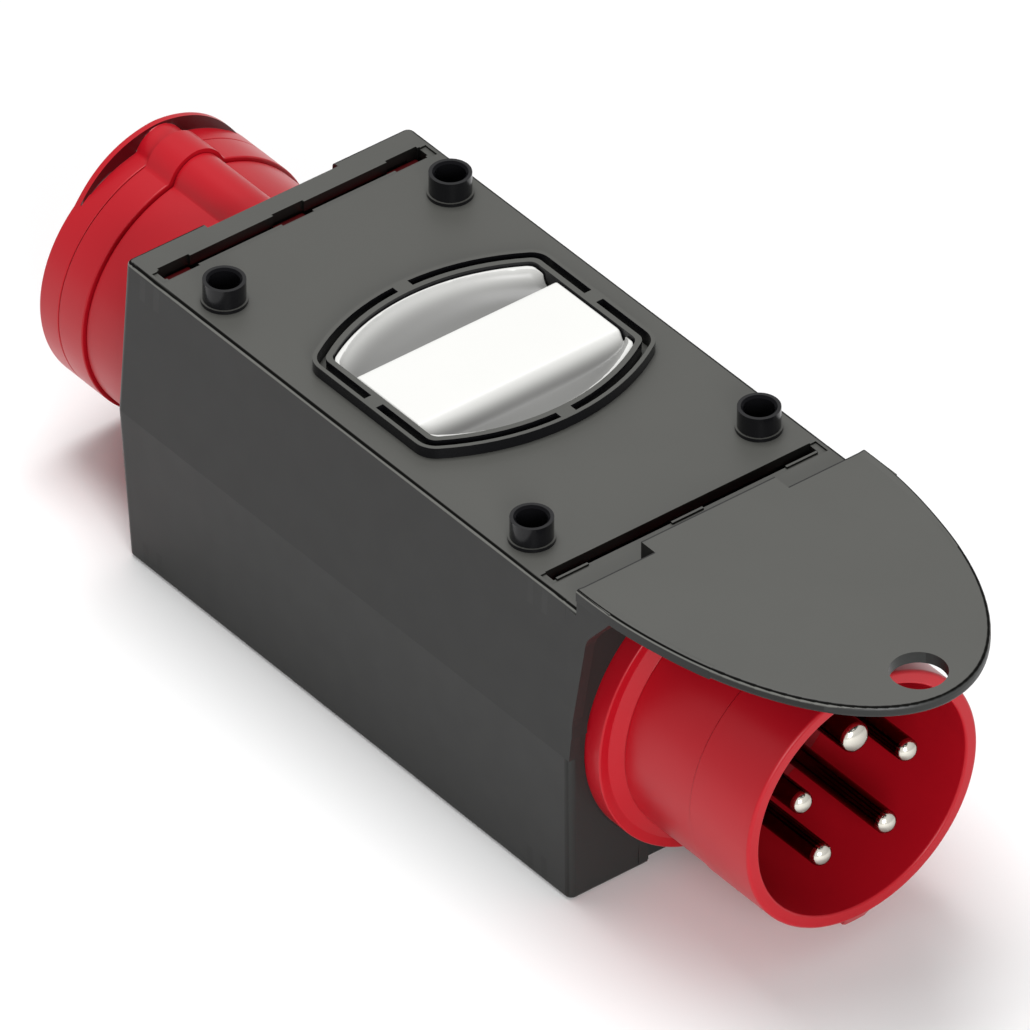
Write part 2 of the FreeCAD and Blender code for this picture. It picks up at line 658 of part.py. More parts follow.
# Where the five poles stand, in degrees round the axis as seen from +X with +Y to the right
POLES = [("earth", 90), ("neutral", 18), ("phase_3", -54), ("phase_2", -126), ("phase_1", 162)]


def polar(circle, angle):
    """Y and Z of a point on a circle round the connector axis."""
    return ("%s * cos(%g)" % (circle, angle), "axis_height + %s * sin(%g)" % (circle, angle))


def facing(angle):
    """A turn about X that brings a pole's own Z axis to point away from the connector axis."""
    return FreeCAD.Rotation(V(1, 0, 0), angle - 90)


def pin_radius(pole):
    return "earth_pin_radius" if pole == "earth" else "pin_radius"


def pin_block():
    """The insulating block that holds the five pins, seated on the shoulder of the shroud."""
    thick = "plug_reach + plug_seat_back - pin_block_depth"
    block = turned("pin_block_disc", [
        ("-plug_seat_back", "0"), ("-plug_seat_back", "plug_bore - slide_gap"),
        ("plug_reach - pin_block_depth", "plug_bore - slide_gap"),
        ("plug_reach - pin_block_depth", "0")], "x_front")
    holes = []
    for pole, angle in POLES:
        y, z = polar("pin_circle_radius", angle)
        holes.append(rod("pin_hole_" + pole, pin_radius(pole) + " + pin_root_extra + pin_fit",
                         "%s + 2 * wall" % thick, "x_front - plug_seat_back - wall", y, z, "x"))
    return cut("pin_block", block, holes)


def pin(pole, angle):
    """A turned pin: domed tip, plain shank, stouter root in the block, terminal behind it."""
    radius = pin_radius(pole)
    root = radius + " + pin_root_extra"
    face = "plug_reach - pin_block_depth"
    tip = "plug_reach - pin_setback"
    back = "-plug_seat_back"
    end = "-(plug_seat_back + terminal_length)"
    depth = "wire_hole_depth - plug_seat_back - terminal_length"
    y, z = polar("pin_circle_radius", angle)
    shank = turned(pole + "_pin_turned", [
        (end, "wire_hole"), (end, "terminal_radius"), (back, "terminal_radius"), (back, root),
        (face, root), (face, radius), (tip, radius), (tip, "0"), (depth, "0"), (depth, "wire_hole")],
        "x_front", y, z, facing(angle))
    round_edges(shank, pole + "_dome", "%s * pin_dome_share" % radius,
                ring_at(size(tip), size(radius)))
    clamp = rod(pole + "_pin_clamp_hole", "clamp_radius + pin_fit", "2 * terminal_radius",
                *clamp_spot("pin_circle_radius", angle, "x_front", end), "z")
    clamp.Placement.Rotation = facing(angle)
    return cut(pole + "_pin", shank, clamp)


def clamp_spot(circle, angle, x_face, end, sign=1):
    """Where a clamp screw's hole starts: just outside the wire, on the side away from the axis."""
    reach = "(%s + wire_radius)" % circle
    y, z = polar(reach, angle)
    along = "%s %s (%s + wire_hole_depth / 2)" % (x_face, "+" if sign > 0 else "-", end)
    return along, y, z


def clamp_screws(name, circle, x_face, end, sign=1):
    """Five grub screws, each bearing on the wire in its terminal."""
    screws = []
    for pole, angle in POLES:
        x, y, z = clamp_spot(circle, angle, x_face, end, sign)
        screw = rod("%s_%s" % (name, pole), "clamp_radius", "clamp_length", x, y, z)
        screw.Placement.Rotation = facing(angle)
        screws.append(screw)
    return fuse(name, screws)


def seal_ring(name, x, carried_radius):
    """A round rubber ring in its groove, just inside the hole that the round part passes."""
    ring = doc.addObject("Part::Torus", name)
    bind(ring, Radius1="%s + fit_gap - pin_fit - seal_section" % carried_radius,
         Radius2="seal_section")
    return put(ring, x, "0", "axis_height", ALONG["x"])


BACKWARDS = FreeCAD.Rotation(V(0, 0, 1), 180)


def coupler_body():
    """The coupler's barrel: straight bore, spigot for the collar, keyway ridge on top."""
    groove = "(recess_depth + wall / 2 + seal_groove_width / 2)"
    tube = turned("coupler_tube", [
        ("-coupler_seat_back", "coupler_bore"), ("-coupler_seat_back", "coupler_radius"),
        ("-" + groove, "coupler_radius"), ("-" + groove, "coupler_radius - seal_groove_depth"),
        ("seal_groove_width - " + groove, "coupler_radius - seal_groove_depth"),
        ("seal_groove_width - " + groove, "coupler_radius"), ("coupler_out", "coupler_radius"),
        ("coupler_out", "spigot_radius"), ("coupler_out + spigot_length", "spigot_radius"),
        ("coupler_out + spigot_length", "coupler_bore")], "x_rear", turn=BACKWARDS)
    ridge = rod("coupler_ridge", "ridge_radius", "coupler_out + recess_depth - fit_gap",
                "x_seam_b", "0", "axis_height + ridge_centre", "x")
    ridge = cut("coupler_ridge_open", ridge,
                rod("coupler_ridge_bore", "coupler_radius - wall / 2", "2 * coupler_out",
                    "x_seam_b - wall", "0", "axis_height", "x"))
    return cut("coupler_body", fuse("coupler_whole", [tube, ridge]),
               keyway("body", "x_spigot_end - wall", "coupler_out + spigot_length"))


def coupler_flange():
    """The ring that the barrel is bonded to, with the plate that sits in the rear slot."""
    sleeve = turned("coupler_sleeve", [
        ("-coupler_sleeve_back", "coupler_sleeve_bore"),
        ("-coupler_sleeve_back", "coupler_radius"), ("-coupler_seat_back", "coupler_radius"),
        ("-coupler_seat_back", "coupler_sleeve_bore")], "x_rear", turn=BACKWARDS)
    return fuse("coupler_flange",
                [sleeve, flange_plate("coupler", "x_slot_rear", "coupler_radius")])


def keyway(name, x, length):
    """The groove under the ridge that guides the key of a mating plug."""
    return wide_box(name + "_keyway", x, "keyway_half", "axis_height + coupler_bore - wall",
                    length, "keyway_top - coupler_bore + wall")


def coupler_collar():
    """The ring on the spigot, with its step of the ridge and the two hinge lugs below."""
    ring = turned("collar_ring", [
        ("coupler_out", "spigot_radius + pin_fit"), ("coupler_out", "collar_radius"),
        ("coupler_out + collar_length", "collar_radius"),
        ("coupler_out + collar_length", "spigot_radius + pin_fit")], "x_rear", turn=BACKWARDS)
    face = "x_seam_b - collar_length"
    ridge = cut("collar_ridge_open",
                rod("collar_ridge", "ridge_radius + collar_ridge_step", "collar_length", face,
                    "0", "axis_height + ridge_centre", "x"),
                rod("collar_ridge_bore", "spigot_radius + wall / 2", "2 * collar_length",
                    face + " - wall", "0", "axis_height", "x"))
    lugs = []
    for side, start in (("left", "-lug_out"), ("right", "knuckle_out + lid_gap")):
        wide = "lug_out - knuckle_out - lid_gap"
        lugs.append(rod("lug_" + side, "hinge_radius", wide, "x_hinge", start, "z_hinge", "y"))
        lugs.append(box("lug_web_" + side, face + " + edge_round / 4", start, "z_hinge",
                        "2 * hinge_radius", wide, "hinge_drop + wall / 2"))
    whole = fuse("collar_whole", [ring, ridge] + lugs)
    hole = rod("collar_pin_hole", "hinge_pin_radius + pin_fit / 2", "3 * lug_out", "x_hinge",
               "-1.5 * lug_out", "z_hinge", "y")
    bore = rod("collar_bore", "spigot_radius + pin_fit", "3 * collar_length",
               face + " - collar_length", "0", "axis_height", "x")
    return cut("coupler_collar", whole,
               [hole, bore, keyway("collar", face + " - wall", "collar_length + 2 * wall")])


def coupler_lid():
    """The sprung lid: end plate with a finger lip, skirt with two scoops, hinge knuckles."""
    skirt_end = "coupler_out + collar_length + lid_gap"
    cup = turned("lid_cup", [
        (skirt_end, "skirt_bore"), (skirt_end, "collar_radius"),
        ("rear_reach", "collar_radius"), ("rear_reach", "0"),
        ("rear_reach - lid_thick", "0"), ("rear_reach - lid_thick", "skirt_bore")],
        "x_rear", turn=BACKWARDS)
    round_edges(cup, "lid_brow", "mouth_chamfer",
                ring_at(size("rear_reach"), size("collar_radius")))
    lip = doc.addObject("Part::Cylinder", "lid_lip")
    bind(lip, Radius="collar_radius + lip_out", Height="lip_thick", Angle="2 * lip_half_angle")
    lip_turn = ALONG["x"].multiply(FreeCAD.Rotation(V(0, 0, 1), 180 - size("lip_half_angle")))
    put(lip, "x_lid_end", "0", "axis_height", lip_turn)
    ridge = cut("lid_ridge_open",
                rod("lid_ridge", "ridge_radius", "rear_reach - (%s)" % skirt_end, "x_lid_end",
                    "0", "axis_height + ridge_centre", "x"),
                rod("lid_ridge_bore", "skirt_bore + mouth_chamfer", "2 * rear_reach",
                    "x_lid_end - wall", "0", "axis_height", "x"))
    knuckles = []
    for side, start in (("left", "-knuckle_out"), ("right", "knuckle_in")):
        wide = "knuckle_out - knuckle_in"
        knuckles.append(rod("knuckle_" + side, "hinge_radius", wide, "x_hinge", start, "z_hinge",
                            "y"))
        knuckles.append(box("knuckle_web_" + side, "x_skirt - hinge_radius", start, "z_hinge",
                            "hinge_radius", wide, "hinge_drop + skirt_wall / 2"))
    whole = fuse("lid_whole", [cup, lip, ridge] + knuckles)
    scoop_length = "(rear_reach - lip_thick - (%s)) * scoop_share" % skirt_end
    rings = cut("scoop_ring",
                rod("scoop_outer", "collar_radius + ridge_radius", scoop_length,
                    "x_lid_end + lip_thick", "0", "axis_height", "x"),
                rod("scoop_inner", "scoop_floor", "2 * rear_reach", "x_lid_end - wall", "0",
                    "axis_height", "x"))
    sides = fuse("scoop_sides", [
        box("scoop_" + side, "x_lid_end", y, "axis_height + wall", "rear_reach",
            "scoop_to - scoop_from", "2 * collar_radius")
        for side, y in (("left", "-scoop_to"), ("right", "scoop_from"))])
    hole = rod("lid_pin_hole", "hinge_pin_radius + pin_fit", "3 * lug_out", "x_hinge",
               "-1.5 * lug_out", "z_hinge", "y")
    return cut("coupler_lid", whole, [common("scoops", rings, sides), hole])


def lid_gasket():
    """The rubber ring inside the lid that closes on the end of the spigot."""
    inner = "skirt_bore - slide_gap - gasket_width"
    return turned("lid_gasket", [
        ("coupler_out + spigot_length", inner),
        ("coupler_out + spigot_length", "skirt_bore - slide_gap"),
        ("rear_reach - lid_thick", "skirt_bore - slide_gap"),
        ("rear_reach - lid_thick", inner)], "x_rear", turn=BACKWARDS)


def lid_spring():
    """A torsion spring round the hinge pin, between the knuckles, with its two legs."""
    pitch = size("spring_pitch")
    rise = pitch * size("spring_turns")
    radius = size("spring_radius")
    coil = Part.makeHelix(pitch, rise, radius)
    section = Part.Wire(Part.makeCircle(size("spring_wire"), V(radius, 0, 0), V(0, 1, 0)))
    wire = Part.Wire(coil).makePipeShell([section], True, True)
    leg = size("hinge_drop - spring_wire - fit_gap")
    first = Part.makeCylinder(size("spring_wire"), leg, V(radius, 0, 0), V(0, -1, 0))
    last = Part.makeCylinder(size("spring_wire"), leg, V(radius, 0, rise), V(0, 1, 0))
    thing = solid("lid_spring", wire.fuse([first, last]))
    turn = FreeCAD.Rotation(V(1, 0, 0), -90).multiply(FreeCAD.Rotation(V(0, 0, 1), 180))
    thing.Placement = FreeCAD.Placement(
        V(size("x_hinge"), -rise / 2, size("z_hinge")), turn)
    return thing


def contact_radius(pole):
    return "(contact_bore + contact_wall%s)" % (" + earth_extra" if pole == "earth" else "")


def contact_holes(name):
    """Five holes for the contacts, long enough for the block and its base."""
    holes = []
    for pole, angle in POLES:
        y, z = polar("contact_circle_radius", angle)
        holes.append(rod("%s_hole_%s" % (name, pole), contact_radius(pole) + " + pin_fit",
                         "contact_block_front + 2 * coupler_seat_back",
                         "x_rear - contact_block_front - wall", y, z, "x"))
    return holes


def contact_block():
    """The round insulating block of the coupler, with a hole for each contact."""
    block = turned("contact_block_disc", [
        ("-contact_flange_front", "0"), ("-contact_flange_front", "contact_block_radius"),
        ("contact_block_front", "contact_block_radius"), ("contact_block_front", "0")],
        "x_rear", turn=BACKWARDS)
    front = size("contact_block_front")
    round_edges(block, "contact_block_brow", "edge_round",
                ring_at(front, size("contact_block_radius")))
    return cut("contact_block", block, contact_holes("contact_block"))


def contact_base():
    """The wider disc behind the block, which closes the barrel and rests on the flange."""
    disc = turned("contact_base_disc", [
        ("-coupler_seat_back", "0"), ("-coupler_seat_back", "coupler_bore - slide_gap"),
        ("-contact_flange_front", "coupler_bore - slide_gap"), ("-contact_flange_front", "0")],
        "x_rear", turn=BACKWARDS)
    return cut("contact_base", disc, contact_holes("contact_base"))


def contact(pole, angle):
    """A contact tube, bored and slit at its mouth, with a thick terminal behind the block."""
    outer = contact_radius(pole)
    bore = "(%s - contact_wall)" % outer
    mouth = "contact_block_front - contact_recess"
    back = "-coupler_seat_back"
    end = "-(coupler_seat_back + terminal_length)"
    hole = "(wire_hole_depth - coupler_seat_back - terminal_length)"
    y, z = polar("contact_circle_radius", angle)
    lay = BACKWARDS.multiply(FreeCAD.Rotation(V(1, 0, 0), 90 - angle))
    tube = turned(pole + "_contact_turned", [
        (end, "wire_hole"), (end, "terminal_radius"), (back, "terminal_radius"), (back, outer),
        (mouth, outer), (mouth, bore), (mouth + " - contact_depth", bore),
        (mouth + " - contact_depth", "0"), (hole, "0"), (hole, "wire_hole")],
        "x_rear", y, z, lay)
    slit = box(pole + "_slit", "x_rear - (%s)" % mouth, y + " - contact_slit / 2",
               "%s - contact_bore * 2" % z, "contact_slit_length", "contact_slit",
               "contact_bore * 4")
    clamp = rod(pole + "_contact_clamp_hole", "clamp_radius + pin_fit", "2 * terminal_radius",
                *clamp_spot("contact_circle_radius", angle, "x_rear", end, -1), "z")
    clamp.Placement.Rotation = facing(angle)
    return cut(pole + "_contact", tube, [slit, clamp])


def fuse_base():
    """The open-topped tray that guides the carrier and holds the clips over a wire tunnel."""
    left = "x_carrier - base_half_x"
    block = wide_box("base_block", left, "base_half_y", "wall", "2 * base_half_x",
                     "base_top - wall")
    shaft = wide_box("base_shaft", left + " + base_wall", "base_half_y - base_wall",
                     "base_floor_top", "2 * (base_half_x - base_wall)", "housing_height")
    tunnel = wide_box("base_tunnel", left + " - wall", "base_half_y - base_wall", "wall / 2",
                      "2 * (base_half_x + wall)", "base_under - wall / 2")
    pedestals = []
    holes = []
    for row in FUSE_ROWS:
        for end, side in (("rear", "-"), ("front", "+")):
            pedestals.append(box(
                "pedestal_%s_%s" % (row[0], end),
                "x_carrier %s clip_out - clip_width / 2 + clip_thick" % side,
                "%s - fuse_radius" % row[1], "base_floor_top - wall / 2",
                "clip_width - 2 * clip_thick",
                "2 * fuse_radius", "fuse_bed - clip_thick - base_floor_top + wall / 2"))
        holes.append(rod("base_hole_" + row[0], "wire_radius + 3 * fit_gap",
                         "2 * base_half_x + 2 * wall", left + " - wall", row[1],
                         "crimp_height", "x"))
    walls = cut("base_walls", block, [shaft, tunnel] + holes)
    return fuse("fuse_base", [walls] + pedestals)


# The three fuses lie side by side: name and sideways place
FUSE_ROWS = [("1", "-fuse_spacing"), ("2", "0 * fuse_spacing"), ("3", "fuse_spacing")]


def fuse_clips(name, side):
    """Three spring clips, each a bent strip with a crimp barrel for its wire."""
    clips = []
    for row, y in FUSE_ROWS:
        low = "x_carrier %s clip_out - clip_width / 2" % side
        tag = "%s_%s" % (name, row)
        gap = "(fuse_radius + fuse_cap_step + slide_gap)"
        arm = "fuse_radius + clip_rise"
        strip = [box(tag + "_bed", low, "%s - %s - clip_thick" % (y, gap),
                     "fuse_bed - clip_thick", "clip_width", "2 * (%s + clip_thick)" % gap,
                     "clip_thick")]
        for hand, start in (("a", "%s - %s - clip_thick" % (y, gap)), ("b", "%s + %s" % (y, gap))):
            strip.append(box("%s_arm_%s" % (tag, hand), low, start, "fuse_bed - clip_thick",
                             "clip_width", "clip_thick", arm))
        crimp_x = "x_carrier + crimp_start"
        neck_x = "x_carrier + clip_out + clip_width / 2 - clip_thick"
        if side == "-":
            crimp_x = "x_carrier - crimp_start - crimp_length"
            neck_x = "x_carrier - crimp_start - wall"
        strip.append(rod(tag + "_crimp", "crimp_radius", "crimp_length", crimp_x, y,
                         "crimp_height", "x"))
        strip.append(box(tag + "_neck", neck_x, "%s - clip_neck / 2" % y,
                         "crimp_height + crimp_radius - clip_thick",
                         "crimp_start + wall - clip_out - clip_width / 2 + clip_thick",
                         "clip_neck",
                         "fuse_bed - crimp_height - crimp_radius + clip_thick"))
        whole = fuse(tag + "_whole", strip)
        hole_x = crimp_x if side == "-" else crimp_x + " + crimp_length - wire_hole_depth"
        clips.append(cut(tag, whole, rod(tag + "_hole", "wire_hole", "wire_hole_depth",
                                         hole_x, y, "crimp_height", "x")))
    return fuse(name, clips)


def fuse_link(row, y):
    """A cartridge fuse: ceramic barrel with a metal cap at each end."""
    half = "fuse_length / 2"
    cap = "fuse_radius + fuse_cap_step"
    return turned("fuse_link_" + row, [
        ("-" + half, "0"), ("-" + half, cap), ("fuse_cap - " + half, cap),
        ("fuse_cap - " + half, "fuse_radius"), (half + " - fuse_cap", "fuse_radius"),
        (half + " - fuse_cap", cap), (half, cap), (half, "0")],
        "x_carrier", y, "fuse_height")


def fuse_carrier():
    """The pull-out carrier: pinch-grip top in the window, guide skirts and fuse saddle below."""
    grip = body("grip_profile")
    view = sketch(grip, "XZ_Plane", "grip_view")
    rim = "grip_top - grip_rim_drop"
    low = "grip_top - scoop_depth"
    bend_level = low + " + scoop_bend_rise"
    left = "x_carrier - "
    right = "x_carrier + "
    outline(view, [
        (left + "grip_half_x", "grip_top - grip_depth"), (left + "grip_half_x", rim),
        (left + "(grip_half_x - grip_rim_width)", rim),
        (left + "scoop_bend_out", bend_level),
        (left + "bar_foot", low), (left + "bar_half", "grip_top"), (right + "bar_half", "grip_top"),
        (right + "bar_foot", low),
        (right + "scoop_bend_out", bend_level),
        (right + "(grip_half_x - grip_rim_width)", rim), (right + "grip_half_x", rim),
        (right + "grip_half_x", "grip_top - grip_depth")])
    pad(grip, view, "grip_pad", "2 * grip_half_y", midplane=True)
    top = size("grip_top")
    foot = size(low)
    bend = size(bend_level)
    round_edges(grip, "bar_brow", "edge_round",
                lambda edge: near(edge.BoundBox.ZMin, top) and near(edge.BoundBox.ZMax, top)
                and edge.BoundBox.XLength < 0.1)
    round_edges(grip, "bar_root", "2 * edge_round",
                lambda edge: near(edge.BoundBox.ZMax, foot) and edge.BoundBox.XLength < 0.1)
    round_edges(grip, "scoop_bend", "scoop_bend_round",
                lambda edge: near(edge.BoundBox.ZMax, bend) and near(edge.BoundBox.ZMin, bend)
                and edge.BoundBox.XLength < 0.1)
    plan = bulged_block("grip_plan", "opening_inset + fit_gap", "grip_top - 2 * grip_depth",
                        "grip_top + wall")
    block = common("grip_block", grip, plan)
    skirts = [box("grip_skirt_" + side, "x_carrier - grip_skirt_half", y, "base_floor_top",
                  "2 * grip_skirt_half", "grip_skirt_thick", "grip_top - grip_depth / 2"
                  " - base_floor_top")
              for side, y in (("left", "-grip_half_y"),
                              ("right", "grip_half_y - grip_skirt_thick"))]
    saddle = wide_box("saddle_block", "x_carrier - saddle_half_x", "saddle_half_y",
                      "fuse_height - saddle_drop", "2 * saddle_half_x",
                      "grip_top - grip_depth / 2 - fuse_height + saddle_drop")
    whole = fuse("carrier_whole", [block, saddle] + skirts)
    notches = []
    for row, y in FUSE_ROWS:
        notches.append(rod("saddle_round_" + row, "fuse_radius + slide_gap",
                           "2 * saddle_half_x + 2 * wall", "x_carrier - saddle_half_x - wall", y,
                           "fuse_height", "x"))
        notches.append(box("saddle_gate_" + row, "x_carrier - saddle_half_x - wall",
                           "%s - saddle_gate" % y, "fuse_height - fuse_radius - wall",
                           "2 * saddle_half_x + 2 * wall", "2 * saddle_gate",
                           "fuse_radius + wall"))
    return cut("fuse_carrier", whole, notches)


def shell_screws():
    """Four screws, from the seats in the upper towers down into the lower ones."""
    screws = []
    for number, (x, y) in enumerate(BOSS_SPOTS):
        head = rod("screw_head_%d" % number, "screw_head_radius", "screw_head_height", x, y,
                   "parting_height + screw_seat")
        shank = rod("screw_shank_%d" % number, "screw_radius", "screw_reach + screw_seat + wall",
                    x, y, "parting_height - screw_reach")
        slot = box("screw_slot_%d" % number, "%s - screw_slot / 2" % x,
                   "%s - screw_head_radius - wall" % y,
                   "parting_height + screw_seat + screw_head_height - screw_slot", "screw_slot",
                   "2 * (screw_head_radius + wall)", "wall")
        screws.append(cut("screw_%d" % number, fuse("screw_whole_%d" % number, [head, shank]),
                          slot))
    return fuse("shell_screws", screws)


def rounded_path(points, bend):
    """Straight runs joined by tangent arcs: each corner's arc touches both its runs."""
    edges = []
    start = points[0]
    for number in range(1, len(points) - 1):
        before, corner, after = points[number - 1:number + 2]
        into = (corner - before).normalize()
        out = (after - corner).normalize()
        turn = into.getAngle(out)
        room = min((corner - before).Length, (after - corner).Length) * 0.45
        radius = min(bend, room / math.tan(turn / 2))
        trim = radius * math.tan(turn / 2)
        first = corner - into * trim
        last = corner + out * trim
        inward = (out - into).normalize()
        centre = corner + inward * (radius / math.cos(turn / 2))
        middle = centre - inward * radius
        edges.append(Part.LineSegment(start, first).toShape())
        edges.append(Part.Arc(first, middle, last).toShape())
        start = last
    edges.append(Part.LineSegment(start, points[-1]).toShape())
    return Part.Wire(edges)


def lead(name, route):
    """An insulated wire held at both ends: a round section carried along its route."""
    points = [V(size(x), size(y), size(z)) for x, y, z in route]
    path = rounded_path(points, size("wire_bend"))
    circle = Part.makeCircle(size("wire_radius"), points[0], (points[1] - points[0]).normalize())
    wire = path.makePipeShell([Part.Wire(circle)], True, True)
    full = math.pi * size("wire_radius") ** 2 * path.Length
    if abs(wire.Volume / full - 1) > 0.01:
        raise ValueError("%s has lost part of its length" % name)
    return solid(name, wire)


def leads():
    """Eight wires: three from the plug to the clips, three on to the coupler, and two through."""
    made = {}
    plug_end = "x_front - plug_seat_back - terminal_length + wire_hole_depth - slide_gap"
    rear_end = "x_rear + coupler_seat_back + terminal_length - wire_hole_depth + slide_gap"
    clip_front = "x_carrier + crimp_start + crimp_length - wire_hole_depth + slide_gap"
    clip_rear = "x_carrier - crimp_start - crimp_length + wire_hole_depth - slide_gap"
    places = dict(POLES)
    for row, y in FUSE_ROWS:
        pole = "phase_" + row
        front = polar("pin_circle_radius", places[pole])
        rear = polar("contact_circle_radius", places[pole])
        made["line_wire_" + row] = lead("line_wire_" + row, [
            (plug_end,) + front,
            ("x_front - plug_seat_back - terminal_length - lead_straight",) + front,
            ("x_carrier + base_half_x + lead_level", y, "crimp_height"),
            (clip_front, y, "crimp_height")])
        made["load_wire_" + row] = lead("load_wire_" + row, [
            (clip_rear, y, "crimp_height"),
            ("x_carrier - base_half_x - lead_level", y, "crimp_height"),
            ("x_rear + coupler_seat_back + terminal_length + lead_straight",) + rear,
            (rear_end,) + rear])
    for pole, side in (("neutral", "neutral_side"), ("earth", "earth_side")):
        front = polar("pin_circle_radius", places[pole])
        rear = polar("contact_circle_radius", places[pole])
        made[pole + "_wire"] = lead(pole + "_wire", [
            (plug_end,) + front,
            ("x_front - plug_seat_back - terminal_length - lead_start",) + front,
            ("x_carrier + base_half_x + lead_dive", side, "tunnel_height"),
            ("x_carrier - base_half_x - lead_dive", side, "tunnel_height"),
            ("x_rear + coupler_seat_back + terminal_length + lead_start",) + rear,
            (rear_end,) + rear])
    return made


def build():
    """Every piece by its name."""
    pieces = {
        "upper_shell": upper_shell(), "lower_shell": lower_shell(),
        "plug_shroud": plug_shroud(), "pin_block": pin_block(),
        "plug_seal": seal_ring("plug_seal", "x_front - wall / 2",
                               "flange_radius"),
        "coupler_body": coupler_body(), "coupler_flange": coupler_flange(),
        "coupler_collar": coupler_collar(),
        "coupler_seal": seal_ring("coupler_seal", "x_rear + recess_depth + wall / 2",
                                  "coupler_radius"),
        "contact_block": contact_block(), "contact_base": contact_base(),
        "coupler_lid": coupler_lid(),
        "lid_gasket": lid_gasket(), "lid_spring": lid_spring(),
        "lid_hinge_pin": rod("lid_hinge_pin", "hinge_pin_radius", "2 * lug_out", "x_hinge",
                             "-lug_out", "z_hinge", "y"),
        "fuse_base": fuse_base(), "fuse_carrier": fuse_carrier(),
        "line_clips": fuse_clips("line_clips", "+"),
        "load_clips": fuse_clips("load_clips", "-"), "shell_screws": shell_screws(),
        "plug_clamp_screws": clamp_screws(
            "plug_clamp_screws", "pin_circle_radius", "x_front",
            "-(plug_seat_back + terminal_length)"),
        "coupler_clamp_screws": clamp_screws(
            "coupler_clamp_screws", "contact_circle_radius", "x_rear",
            "-(coupler_seat_back + terminal_length)", -1),
    }
    for pole, angle in POLES:
        pieces[pole + "_pin"] = pin(pole, angle)
        pieces[pole + "_contact"] = contact(pole, angle)
    for row, y in FUSE_ROWS:
        pieces["fuse_link_" + row] = fuse_link(row, y)
    pieces.update(leads())
    return pieces


pieces = build()
doc.recompute()
failed = [item.Name for item in doc.Objects if "Invalid" in item.State or "Error" in item.State]
for name, piece in pieces.items():
    piece.Label = name
    if piece.Shape.isNull() or not piece.Shape.isValid():
        failed.append(name)
if failed:
    raise RuntimeError("failed: " + ", ".join(failed))
for name, piece in pieces.items():
    piece.Shape.exportStep("parts/%s.step" % name)
    corners = piece.Shape.BoundBox
    print("%-22s %d solids %9.0f mm3  x %.1f %.1f  y %.1f %.1f  z %.1f %.1f" % (
        name, len(piece.Shape.Solids), piece.Shape.Volume, corners.XMin, corners.XMax,
        corners.YMin, corners.YMax, corners.ZMin, corners.ZMax))
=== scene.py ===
# %% [markdown]
# An industrial plug adapter: a red five-pin plug under a hanging tab, a red coupler with a sprung
# lid, and a white pull-out fuse carrier in a black housing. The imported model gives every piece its
# place, so this script starts from it and dresses it.

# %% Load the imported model
import json
import math

import bmesh
import bpy
import numpy as np
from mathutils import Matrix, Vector


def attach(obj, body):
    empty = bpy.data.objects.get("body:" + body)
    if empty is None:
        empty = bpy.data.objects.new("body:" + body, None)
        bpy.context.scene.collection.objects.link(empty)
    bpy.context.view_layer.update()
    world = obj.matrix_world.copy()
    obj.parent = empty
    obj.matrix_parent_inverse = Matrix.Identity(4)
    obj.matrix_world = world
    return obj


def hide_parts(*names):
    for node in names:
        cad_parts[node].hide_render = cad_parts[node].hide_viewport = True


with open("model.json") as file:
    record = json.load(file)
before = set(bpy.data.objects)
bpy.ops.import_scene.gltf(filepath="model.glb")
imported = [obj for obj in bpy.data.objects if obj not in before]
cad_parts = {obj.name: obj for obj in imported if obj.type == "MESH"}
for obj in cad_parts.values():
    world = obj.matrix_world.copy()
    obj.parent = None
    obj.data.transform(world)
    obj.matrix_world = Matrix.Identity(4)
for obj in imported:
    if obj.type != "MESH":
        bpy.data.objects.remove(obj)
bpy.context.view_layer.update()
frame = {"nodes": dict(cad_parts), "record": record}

MM = 0.001
AXIS_HEIGHT = 45.1
NODES = frame["nodes"]


# %% [markdown]
# The camera comes first. Its place was found by matching corners of the housing and the two round
# connectors with the photograph. It stands far away with a long lens, so the picture is nearly
# parallel.

# %% Camera
def new_object(name, data):
    """An object for this data, linked to the scene."""
    made = bpy.data.objects.new(name, data)
    bpy.context.scene.collection.objects.link(made)
    return made


CAMERA_TARGET = Vector((-10.95, 0.0, 50.0)) * MM
CAMERA_AZIMUTH = math.radians(51.63)
CAMERA_ELEVATION = math.radians(37.75)
CAMERA_DISTANCE = 5093 * MM
CAMERA_LENS = 731.6


def add_camera():
    """Back vector = (sin a cos e, -cos a cos e, sin e), for azimuth a and elevation e."""
    data = bpy.data.cameras.new("photo_camera")
    data.lens = CAMERA_LENS
    data.sensor_width = 36.0
    data.clip_start = 0.1
    data.clip_end = 100.0
    camera = new_object("photo_camera", data)
    flat = math.cos(CAMERA_ELEVATION)
    back = Vector((math.sin(CAMERA_AZIMUTH) * flat, -math.cos(CAMERA_AZIMUTH) * flat,
                   math.sin(CAMERA_ELEVATION)))
    camera.location = CAMERA_TARGET + back * CAMERA_DISTANCE
    camera.rotation_mode = "QUATERNION"
    camera.rotation_quaternion = (-back).to_track_quat("-Z", "Y")
    bpy.context.scene.camera = camera
    return camera


camera = add_camera()
print("camera at", [round(c, 3) for c in camera.location])


# %% [markdown]
# Every finish is built from a few shader nodes that repeat: a coordinate taken apart into its
# axes, a comparison, a smooth step and a mix of colours. Each gets a short function here.

# %% Shader helpers
def shader_of(material):
    """The material's node tree and its main shader."""
    return material.node_tree, material.node_tree.nodes["Principled BSDF"]


def new_material(name):
    """A new material with its node tree and its main shader."""
    material = bpy.data.materials.new(name)
    material.use_nodes = True
    return material, *shader_of(material)


